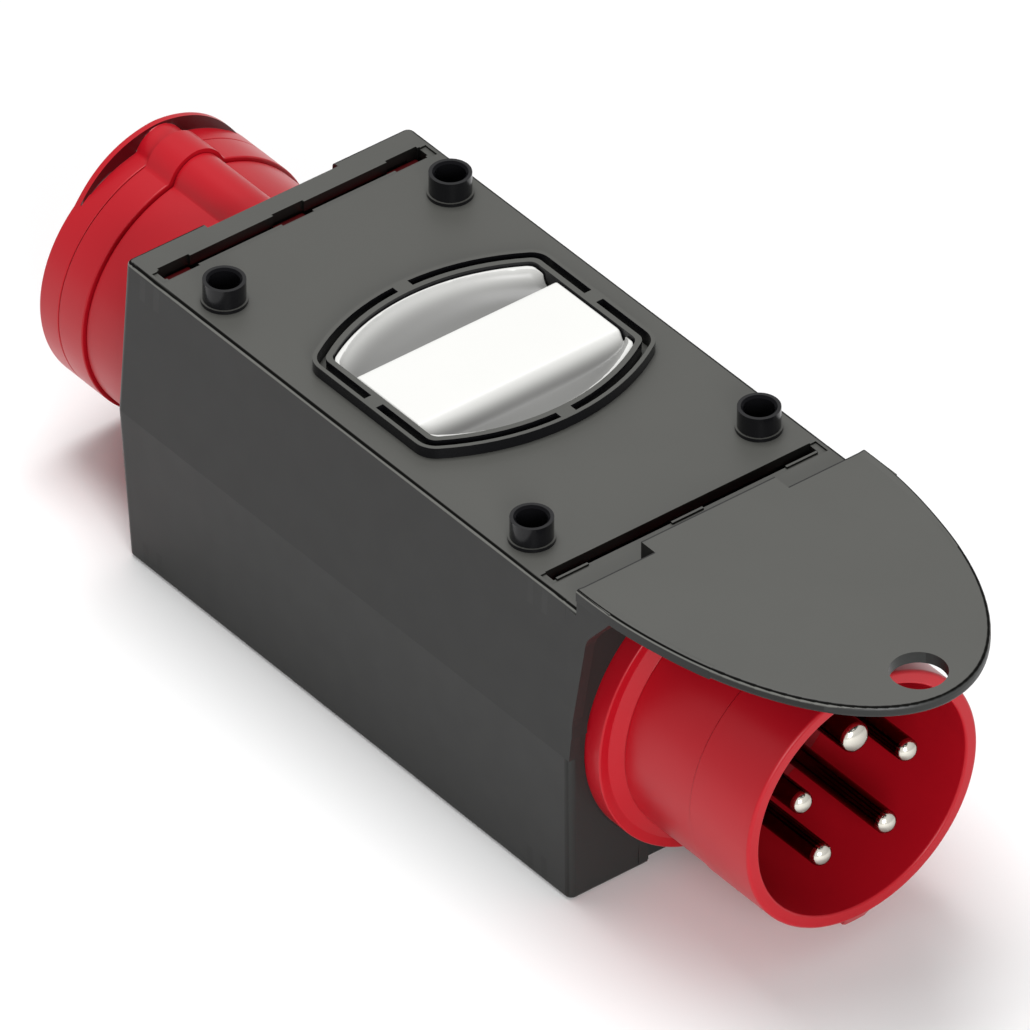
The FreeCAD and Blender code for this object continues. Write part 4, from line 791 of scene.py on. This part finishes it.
def keyway_radius(r, a):
    """A flat-topped groove: the wall goes out to KEYWAY_TOP where |y| < its half width."""
    away = off_top(a)
    flat = KEYWAY_TOP / np.maximum(np.cos(away), 0.5)
    inside = 1 - ease(np.abs(np.sin(away)) * flat, KEYWAY_HALF - 0.3, KEYWAY_HALF)
    inside = inside * (np.abs(away) < 0.5)
    return r + (flat - r) * inside


def barrel_radius_at(x, r, a):
    """Outer wall: raised by the ridge outside the housing. Bore: cut by the keyway."""
    outer = (x < X_REAR + 3.5) & (r > COUPLER_RADIUS - 0.6)
    inner = (x < X_REAR) & (r < BARREL_BORE + 0.5)
    raised = smooth_max(r, ridge_radius(a, RIDGE_RADIUS), 1.4)
    return np.where(outer, raised, np.where(inner, keyway_radius(r, a), r))


def barrel_section():
    """Back end, seal groove, the wall up to the seam, the spigot and the bore."""
    x = X_REAR
    back = [(x + BARREL_BACK, BARREL_BORE, 0), (x + BARREL_BACK, COUPLER_RADIUS, 0)]
    seal_groove = [(x + 6.6, COUPLER_RADIUS, 0), (x + 6.6, COUPLER_SEAL_FLOOR, 0),
                   (x + 4.4, COUPLER_SEAL_FLOOR, 0), (x + 4.4, COUPLER_RADIUS, 0)]
    wall = [(x + 3.6, COUPLER_RADIUS, 0), (x + 3.4, COUPLER_RADIUS, 0),
            (X_SEAM + SEAM_GAP, COUPLER_RADIUS, 0.45)]
    spigot = [(X_SEAM + SEAM_GAP, SPIGOT_RADIUS, 0), (X_SEAM - SPIGOT_REACH, SPIGOT_RADIUS, 0.5),
              (X_SEAM - SPIGOT_REACH, BARREL_BORE, 0.5)]
    bore = [(x - 0.2, BARREL_BORE, 0), (x + 0.2, BARREL_BORE, 0)]
    return rounded_section(back + seal_groove + wall + spigot + bore)


def sleeve_section():
    """The ring behind the barrel, which is bonded to it and carries the slot plate."""
    x = X_REAR
    return rounded_section([(x + BACK_SLEEVE_FRONT, BACK_SLEEVE_BORE, 0.2),
                            (x + BACK_SLEEVE_FRONT, COUPLER_RADIUS, 0.2),
                            (x + BACK_SLEEVE_BACK, COUPLER_RADIUS, 0.4),
                            (x + BACK_SLEEVE_BACK, BACK_SLEEVE_BORE, 0.3)])


put_on(turned("coupler_barrel", barrel_section(), RED, barrel_radius_at),
       "adapter", "connector_red", "coupler_body")
sleeve = turned("coupler_sleeve", sleeve_section(), RED)
coupler_plate = slot_plate("coupler_plate_sheet", X_SLOT_REAR, COUPLER_PLATE_HOLE, PLATE_TOP)
put_on(join("coupler_flange_plate", [sleeve, coupler_plate] + rear_lugs()),
       "adapter", "connector_red", "coupler_flange")


# %% [markdown]
# A separate collar is pressed on the barrel's spigot and carries the lid's hinge. It is a little
# larger than the barrel, ridge included, which makes the step at the dark seam.

# %% Coupler collar
def collar_radius_at(x, r, a):
    """Outer wall: raised by a larger ridge than the barrel's. Bore: cut by the keyway."""
    raised = smooth_max(r, ridge_radius(a, RIDGE_RADIUS + 1.1), 1.6)
    return np.where(r > COLLAR_RADIUS - 0.7, raised, keyway_radius(r, a))


def collar_section():
    """A ring from the seam nearly to the lid's skirt, which just clears the spigot."""
    bore = SPIGOT_RADIUS + SPIGOT_FIT
    back, front = X_SKIRT + COLLAR_CLEAR, X_SEAM - SEAM_GAP
    return rounded_section([(front, bore, 0), (front, COLLAR_RADIUS, 0.45),
                            (back, COLLAR_RADIUS, 0.3), (back, bore, 0.2)])


X_HINGE = -145.95
Z_HINGE = 5.4
HINGE_RADIUS = 3.2
HINGE_LUG_PLACES = (-10.2, 7.2)
HINGE_LUG_WIDTH = 3.0
LUG_WEB_BACK = -146.5
LUG_WEB_FRONT = -140.2
LUG_WEB_TOP = 11.0
KNUCKLE_PLACES = (-7.0, 3.9)
KNUCKLE_WIDTH = 3.1
KNUCKLE_WEB_TOP = 10.4


def hinge_ring(name, low, high):
    """A bar along Y round the hinge, with rounded ends: (x + r cos a, y, z + r sin a)."""
    section = rounded_section([(low, 0.0, 0), (low, HINGE_RADIUS, 0.4), (high, HINGE_RADIUS, 0.4),
                               (high, 0.0, 0)])
    y, r, a = spun(section, FULL_TURN)
    points = np.stack([X_HINGE + r * np.cos(a), y, Z_HINGE + r * np.sin(a)], -1)
    return mesh_object(name, points, True, False, RED, SMALL_ANGLE)


def hinge_parts(name, lows, width, web_back, web_front, web_top):
    """On the left and on the right, a ring and the web that joins it to the wall above."""
    parts = []
    for side, low in zip(("left", "right"), lows):
        parts.append(hinge_ring("%s_%s" % (name, side), low, low + width))
        parts.append(rounded_block("%s_web_%s" % (name, side), (web_back, low, Z_HINGE),
                                   (web_front, low + width, web_top), 0.4, RED))
    return parts


collar_ring = turned("collar_ring", collar_section(), RED, collar_radius_at)
collar_parts = [collar_ring] + hinge_parts("lug", HINGE_LUG_PLACES, HINGE_LUG_WIDTH,
                                           LUG_WEB_BACK, LUG_WEB_FRONT, LUG_WEB_TOP)
put_on(join("coupler_collar_ring", collar_parts), "adapter", "connector_red", "coupler_collar")


# %% [markdown]
# The lid is a shallow cap with a lip on top for the finger. On each side of the ridge a scoop
# tapers away under the lip. All of this is one function: the lid's radius over angle and distance
# from its end.

# %% Lid
LIP_OUT = 4.6
LIP_THICK = 2.0
LIP_HALF = math.radians(44)
SCOOP_FROM = 8.6
SCOOP_TO = 23.0
SCOOP_DEEP = 2.2
LID_END_THICK = 2.5
LID_BORE = 33.4


def lid_radius_at(x, r, a):
    """Wall radius = 36, raised by the lip and the ridge and sunk by the two scoops."""
    away = off_top(a)
    back = x - X_LID_END
    across = np.abs(COLLAR_RADIUS * np.sin(away))
    upper = np.abs(away) < TOP
    taper = 1 - ease(across, SCOOP_FROM + 3, SCOOP_TO)
    reach = LIP_THICK + 0.6 + 3.6 * taper
    sunk = ease(back, LIP_THICK - 0.15, LIP_THICK + 0.25) * (1 - ease(back, reach - 0.9, reach))
    sides = ease(across, SCOOP_FROM - 0.6, SCOOP_FROM + 0.5) * (1 - ease(across, SCOOP_TO - 7,
                                                                        SCOOP_TO))
    scooped = r - SCOOP_DEEP * sunk * sides * upper
    bulge = np.clip(1 - (away / LIP_HALF) ** 2, 0, 1) ** 1.25
    lip = COLLAR_RADIUS + LIP_OUT * bulge * (1 - ease(back, LIP_THICK - 0.2, LIP_THICK + 0.15))
    raised = smooth_max(np.maximum(scooped, lip - (COLLAR_RADIUS - r)),
                        ridge_radius(a, RIDGE_RADIUS) - (COLLAR_RADIUS - r), 0.7)
    return np.where(r > COLLAR_RADIUS - 0.9, raised, r)


def lid_section():
    """End plate and skirt; extra points along the wall let the scoops be smooth."""
    wall = [(x, COLLAR_RADIUS, 0) for x in np.linspace(X_LID_END + 0.9, X_SKIRT - 0.6, 42)]
    corners = [(X_LID_END, 0.0, 0), (X_LID_END, COLLAR_RADIUS, 0.6)] + wall + [
        (X_SKIRT, COLLAR_RADIUS, 0.3), (X_SKIRT, LID_BORE, 0.2),
        (X_LID_END + LID_END_THICK, LID_BORE, 0.3), (X_LID_END + LID_END_THICK, 0.0, 0)]
    return rounded_section(corners, 5)


lid_cap = turned("lid_cap", lid_section(), RED, lid_radius_at, angles_round(45.0, 160, 200), False)
lid_parts = [lid_cap] + hinge_parts("knuckle", KNUCKLE_PLACES, KNUCKLE_WIDTH,
                                    X_SKIRT - HINGE_RADIUS, X_SKIRT, KNUCKLE_WEB_TOP)
put_on(join("coupler_lid_cap", lid_parts), "lid", "connector_red", "coupler_lid")


# %% [markdown]
# The two housing shells are too full of slots, bosses and ribs for one formula, so they are copies
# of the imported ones, with their rounded edges and shading. The guide rails inside come about 0.2 mm
# through the drafted walls there, so the copies bring those points back flush with the wall.

# %% Housing shells
HALF_WIDTH = 46.0
PARTING = 45.1
DRAFT = math.tan(math.radians(2.3))
RAIL_FRONT = X_FRONT - 2
RAIL_PROUD = 0.003
UPPER_LIMIT = 90.0
LOWER_LIMIT = 0.5


def wall_at(z):
    """The outer wall's distance from the middle: half width - |z - parting| * tan(draft)."""
    return HALF_WIDTH - np.abs(z - PARTING) * DRAFT


def flush_shell(name, node, limit_z):
    """A merged copy of a shell that keeps its own normals.

    Behind RAIL_FRONT, and nearer the parting than limit_z, points outside the wall come back to it.
    """
    data = NODES[node].data.copy()
    data.name = name
    normals = np.empty(len(data.loops) * 3)
    data.corner_normals.foreach_get("vector", normals)
    kept = data.attributes.new("kept_normal", "FLOAT_VECTOR", "CORNER")
    kept.data.foreach_set("vector", normals)
    work = bmesh.new()
    work.from_mesh(data)
    bmesh.ops.remove_doubles(work, verts=work.verts, dist=1e-6)
    work.to_mesh(data)
    work.free()
    normals = np.empty(len(data.loops) * 3)
    kept = data.attributes["kept_normal"]
    kept.data.foreach_get("vector", normals)
    data.attributes.remove(kept)
    place = np.empty(len(data.vertices) * 3)
    data.vertices.foreach_get("co", place)
    place = place.reshape(-1, 3) / MM
    limit = wall_at(place[:, 2])
    wide = (np.abs(place[:, 1]) > limit + RAIL_PROUD) & (place[:, 0] < RAIL_FRONT)
    wide &= np.abs(place[:, 2] - PARTING) < np.abs(limit_z - PARTING)
    place[wide, 1] = np.sign(place[wide, 1]) * limit[wide]
    data.vertices.foreach_set("co", (place * MM).ravel())
    data.normals_split_custom_set(normals.reshape(-1, 3).tolist())
    data.materials.clear()
    data.materials.append(HOUSING)
    made = new_object(name, data)
    print("flushed", name, int(wide.sum()), "points of", len(place))
    return made


put_on(flush_shell("housing_top", "upper_shell", UPPER_LIMIT), "adapter",
       "housing_black", "upper_shell")
put_on(flush_shell("housing_bottom", "lower_shell", LOWER_LIMIT), "adapter",
       "housing_black", "lower_shell")


# %% [markdown]
# In the photograph the front slot is one plain gap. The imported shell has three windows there, so
# thin strips of the roof close them, level with it.

# %% Front slot
SLOT_HALF_WIDTH = 1.65
WINDOW_HALF_WIDTH = 2.35
STRIP_HALF_LENGTH = 4.82
STRIP_BITE = 0.02
STRIP_UNDER = 87.8
ROOF_TOP = 90.6

strips = []
for number, y in enumerate(WINDOW_PLACES):
    for side, sign in (("back", -1), ("front", 1)):
        ends = sorted(X_SLOT_FRONT + sign * reach
                      for reach in (SLOT_HALF_WIDTH, WINDOW_HALF_WIDTH + STRIP_BITE))
        strips.append(rounded_block("strip_%s_%d" % (side, number),
                                    (ends[0], y - STRIP_HALF_LENGTH, STRIP_UNDER),
                                    (ends[1], y + STRIP_HALF_LENGTH, ROOF_TOP), 0.02, HOUSING, 1))
put_on(join("front_slot_strips", strips), "adapter", "housing_black")


# %% [markdown]
# The long roof edge runs straight into the hood in the photograph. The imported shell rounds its
# upright corner there, so a short corner piece carries the edge on, with the same 1.2 mm radius.

# %% Corner pieces
EDGE_ROUND = 1.2
PROUD = 0.012
CORNER_LOW = 52.0
CORNER_INNER = 41.0
CORNER_BACK = 64.5
CORNER_FRONT = 68.72
PIECE_ANGLE = 35.0


def corner_piece(name, side):
    """Section: down the drafted wall, round the edge and in along the roof; swept along X."""
    turn = np.linspace(0, math.pi / 2, 7)
    centre_y = wall_at(ROOF_TOP - EDGE_ROUND) - EDGE_ROUND + PROUD
    centre_z = ROOF_TOP - EDGE_ROUND + PROUD
    arc = np.stack([centre_y + EDGE_ROUND * np.cos(turn), centre_z + EDGE_ROUND * np.sin(turn)], 1)
    section = np.concatenate([[[CORNER_INNER, CORNER_LOW],
                               [wall_at(CORNER_LOW) + PROUD, CORNER_LOW]], arc,
                              [[CORNER_INNER, ROOF_TOP + PROUD]]])
    middle = np.zeros_like(section) + section.mean(0)
    rows = [(CORNER_BACK, middle), (CORNER_BACK, section), (CORNER_FRONT, section),
            (CORNER_FRONT, middle)]
    points = np.array([[(x, side * y, z) for y, z in ring] for x, ring in rows])
    return mesh_object(name, points, False, True, HOUSING, PIECE_ANGLE)


HOOD_BACK = 68.75
TAB_START = 71.45
TAB_REACH = 83.2
TAB_HALF = 44.187
HOOD_END = 81.05
BEAD_END = 112.0
BEAD_LOW = 93.84
BEAD_TOP = 97.17
TAB_TOP = 97.005
BEAD_INNER_TOP = 96.995
BEAD_ROUND = 1.0
BEAD_WIDE = 2.4
BEAD_PROUD = 0.015
BEAD_HOOD_PROUD = 0.40


def bead(name, side):
    """A rounded edge that runs from the hood's back corner and fades out along the tab.

    Outside = the hood's side, then the tab's ellipse half * sqrt(1 - ((x - start) / reach)^2).
    """
    x = np.concatenate([np.linspace(HOOD_BACK, HOOD_BACK + 0.5, 6),
                        np.linspace(HOOD_BACK + 1.0, BEAD_END, 90)])
    ellipse = TAB_HALF * np.sqrt(1 - (np.maximum(x - TAB_START, 0) / TAB_REACH) ** 2)
    fade = 1 - ease(x, HOOD_END - 4, BEAD_END - 8)
    outside = ellipse + BEAD_PROUD + BEAD_HOOD_PROUD * fade
    top = TAB_TOP + (BEAD_TOP - TAB_TOP) * fade
    turn = np.linspace(0, math.pi / 2, 8)[None]
    arc_y = (outside - BEAD_ROUND)[:, None] + BEAD_ROUND * np.cos(turn)
    arc_z = (top - BEAD_ROUND)[:, None] + BEAD_ROUND * np.sin(turn)
    inner = (outside - BEAD_WIDE)[:, None]
    y = np.concatenate([inner, outside[:, None], arc_y, inner], 1)
    level = 0 * inner
    z = np.concatenate([level + BEAD_LOW, level + BEAD_LOW, arc_z, level + BEAD_INNER_TOP], 1)
    points = np.stack([x[:, None] + 0 * y, side * y, z], -1)
    middle = points.mean(1, keepdims=True) + 0 * points
    points = np.concatenate([middle[:1], points, middle[-1:]])
    return mesh_object(name, points, False, True, HOUSING, PIECE_ANGLE)


put_on(join("hood_beads", [bead("bead_left", -1), bead("bead_right", 1)]),
       "adapter", "housing_black")
put_on(join("roof_corner_pieces", [corner_piece("corner_left", -1),
                                   corner_piece("corner_right", 1)]),
       "adapter", "housing_black")


# %% [markdown]
# The carrier's grip is a bar between two scoops. Each scoop rises along a quarter ellipse to a rim
# that follows the window's bulge. The grip's top is one height over the plan. The skirts and the
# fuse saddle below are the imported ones, levelled under the cap.

# %% Fuse carrier
X_WINDOW = -23.05
X_CARRIER = -21.45
GRIP_HALF_X = 29.06
GRIP_HALF_Y = 31.05
GRIP_BULGE = 56.9
GRIP_TOP = 93.4
GRIP_RIM = 92.8
SCOOP_FLOOR = 87.5
SCOOP_RUN = 10.5
BAR_HALF = 12.2
BAR_FOOT = 15.4
CAP_UNDER = 84.3
TRAY_CLEAR = 87.6
TRAY_INSIDE = 28.2


def round_off(distance, radius):
    """How far a rounded edge falls, this far in from it: r - sqrt(r^2 - (r - d)^2)."""
    inside = np.clip(radius - distance, 0, radius)
    return radius - np.sqrt(radius ** 2 - inside ** 2)


def grip_half(y):
    """Half width of the plan: the bulge's arc, with the corners rounded."""
    sagitta = GRIP_BULGE - np.sqrt(GRIP_BULGE ** 2 - y ** 2)
    return GRIP_HALF_X - sagitta - round_off(GRIP_HALF_Y - np.abs(y), 1.8)


def grip_height(x, y, inward):
    """Height = the higher of bar and scoop, less the rounding of rim and ends."""
    out = np.abs(x - X_CARRIER)
    slope = (GRIP_TOP - SCOOP_FLOOR) / (BAR_FOOT - BAR_HALF)
    side = GRIP_TOP - slope * (out - BAR_HALF)
    bar = -smooth_max(np.full_like(side, -GRIP_TOP), -side, 0.6)
    width = 0.7 + 1.3 * (np.abs(y) / GRIP_HALF_Y) ** 3
    share = np.clip(1 - (inward - width) / SCOOP_RUN, 0, 1)
    scoop = SCOOP_FLOOR + (GRIP_RIM - SCOOP_FLOOR) * (1 - np.sqrt(1 - share ** 2))
    top = smooth_max(bar, scoop, 1.1) - 0.04
    return top - round_off(inward, 0.4) - round_off(GRIP_HALF_Y - np.abs(y), 0.7)


def grip_cap():
    """Rows along Y; each goes over the top and back underneath, closed at both ends."""
    half = np.concatenate([np.linspace(0, GRIP_HALF_Y - 2, 40), GRIP_HALF_Y - 2
                           + 2 * np.sin(np.linspace(0.1, math.pi / 2, 12))])
    y = np.concatenate([-half[::-1], half[1:]])[:, None]
    edge = 1 - 0.04 * np.linspace(0.02, 1, 12) ** 2
    across = np.sort(np.concatenate([np.linspace(-1, 1, 361), edge, -edge]))[None]
    reach = grip_half(y)
    x = X_WINDOW + reach * across
    top = grip_height(x, y + 0 * x, reach * (1 - np.abs(across)))
    under = np.where(np.abs(x - X_CARRIER) > TRAY_INSIDE, TRAY_CLEAR, CAP_UNDER)
    loop_x = np.concatenate([x, x[:, ::-1]], 1)
    loop_z = np.concatenate([top, under[:, ::-1]], 1)
    middle = (top + under) / 2
    end = np.concatenate([middle, middle[:, ::-1]], 1)
    loop_x = np.concatenate([loop_x[:1], loop_x, loop_x[-1:]])
    loop_z = np.concatenate([end[:1], loop_z, end[-1:]])
    loop_y = np.concatenate([y[:1], y, y[-1:]]) + 0 * loop_x
    points = np.stack([loop_x, loop_y, loop_z], -1)
    return mesh_object("grip_cap", points, False, True, WHITE, 50.0)


def carrier_below():
    """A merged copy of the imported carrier. What is above the cap's underside comes down to it."""
    data = NODES["fuse_carrier"].data.copy()
    place = np.empty(len(data.vertices) * 3)
    data.vertices.foreach_get("co", place)
    place = place.reshape(-1, 3)
    place[:, 2] = np.minimum(place[:, 2], (CAP_UNDER + 0.2) * MM)
    data.vertices.foreach_set("co", place.ravel())
    data.materials.clear()
    return finish_mesh("carrier_below", data, WHITE, 30.0)


put_on(join("carrier_grip", [grip_cap(), carrier_below()]), "carrier", "carrier_white",
       "fuse_carrier")


# %% [markdown]
# The photograph is a studio picture on white. The world is white where the camera or a mirror
# looks at it and gives a plain light elsewhere. A broad lamp above gives the shapes, and one in
# front fills the shroud and the faces that turn to the camera.

# %% Floor, world and lamps
FLOOR_HALF = 3.0
FLOOR_HEIGHT = -0.0002
WORLD_STRENGTH = 0.42
# Each lamp: its name, place, target, size in metres and power in watts.
LAMPS = (("overhead", (-0.25, 0.1, 1.6), (0, 0, 0.05), 0.8, 18.5),
         ("front", (1.5, -0.75, 0.75), (0.05, 0, 0.05), 0.7, 18))


def add_floor():
    """A pale floor, white to the camera, that still takes the object's shadow."""
    data = bpy.data.meshes.new("floor")
    data.from_pydata([(x * FLOOR_HALF, y * FLOOR_HALF, FLOOR_HEIGHT)
                      for x, y in ((-1, -1), (1, -1), (1, 1), (-1, 1))], [], [(0, 1, 2, 3)])
    floor = new_object("floor", data)
    material, _, shader = new_material("pale_floor")
    shader.inputs["Base Color"].default_value = (0.93, 0.93, 0.93, 1)
    shader.inputs["Roughness"].default_value = 0.9
    data.materials.append(material)


def add_world(strength):
    """White to camera, glossy and transmission rays; a plain light for all the others."""
    world = bpy.data.worlds.new("studio")
    bpy.context.scene.world = world
    world.use_nodes = True
    tree = world.node_tree
    plain = tree.nodes["Background"]
    plain.inputs["Color"].default_value = (1, 1, 1, 1)
    plain.inputs["Strength"].default_value = strength
    white = tree.nodes.new("ShaderNodeBackground")
    white.inputs["Strength"].default_value = 1.0
    path = tree.nodes.new("ShaderNodeLightPath")
    mix = tree.nodes.new("ShaderNodeMixShader")
    seen = both(tree, path.outputs["Is Camera Ray"], path.outputs["Is Glossy Ray"], "MAXIMUM")
    seen = both(tree, seen, path.outputs["Is Transmission Ray"], "MAXIMUM")
    tree.links.new(seen, mix.inputs[0])
    tree.links.new(plain.outputs[0], mix.inputs[1])
    tree.links.new(white.outputs[0], mix.inputs[2])
    tree.links.new(mix.outputs[0], tree.nodes["World Output"].inputs["Surface"])


def add_lamp(name, place, target, size, watts):
    """A square lamp that looks from its place at the target."""
    data = bpy.data.lights.new(name, "AREA")
    data.size = size
    data.energy = watts
    lamp = new_object(name, data)
    lamp.location = place
    lamp.rotation_mode = "QUATERNION"
    lamp.rotation_quaternion = (Vector(target) - Vector(place)).to_track_quat("-Z", "Y")


add_floor()
add_world(WORLD_STRENGTH)
for lamp_row in LAMPS:
    add_lamp(*lamp_row)
bpy.context.scene.view_settings.view_transform = "Standard"
print("floor, world and", len(LAMPS), "lamps ready")


# %% [markdown]
# Last, a small helper gives a box's corners as plain numbers.

# %% Sizes
def corners(box):
    return [[float(c) for c in point] for point in box]
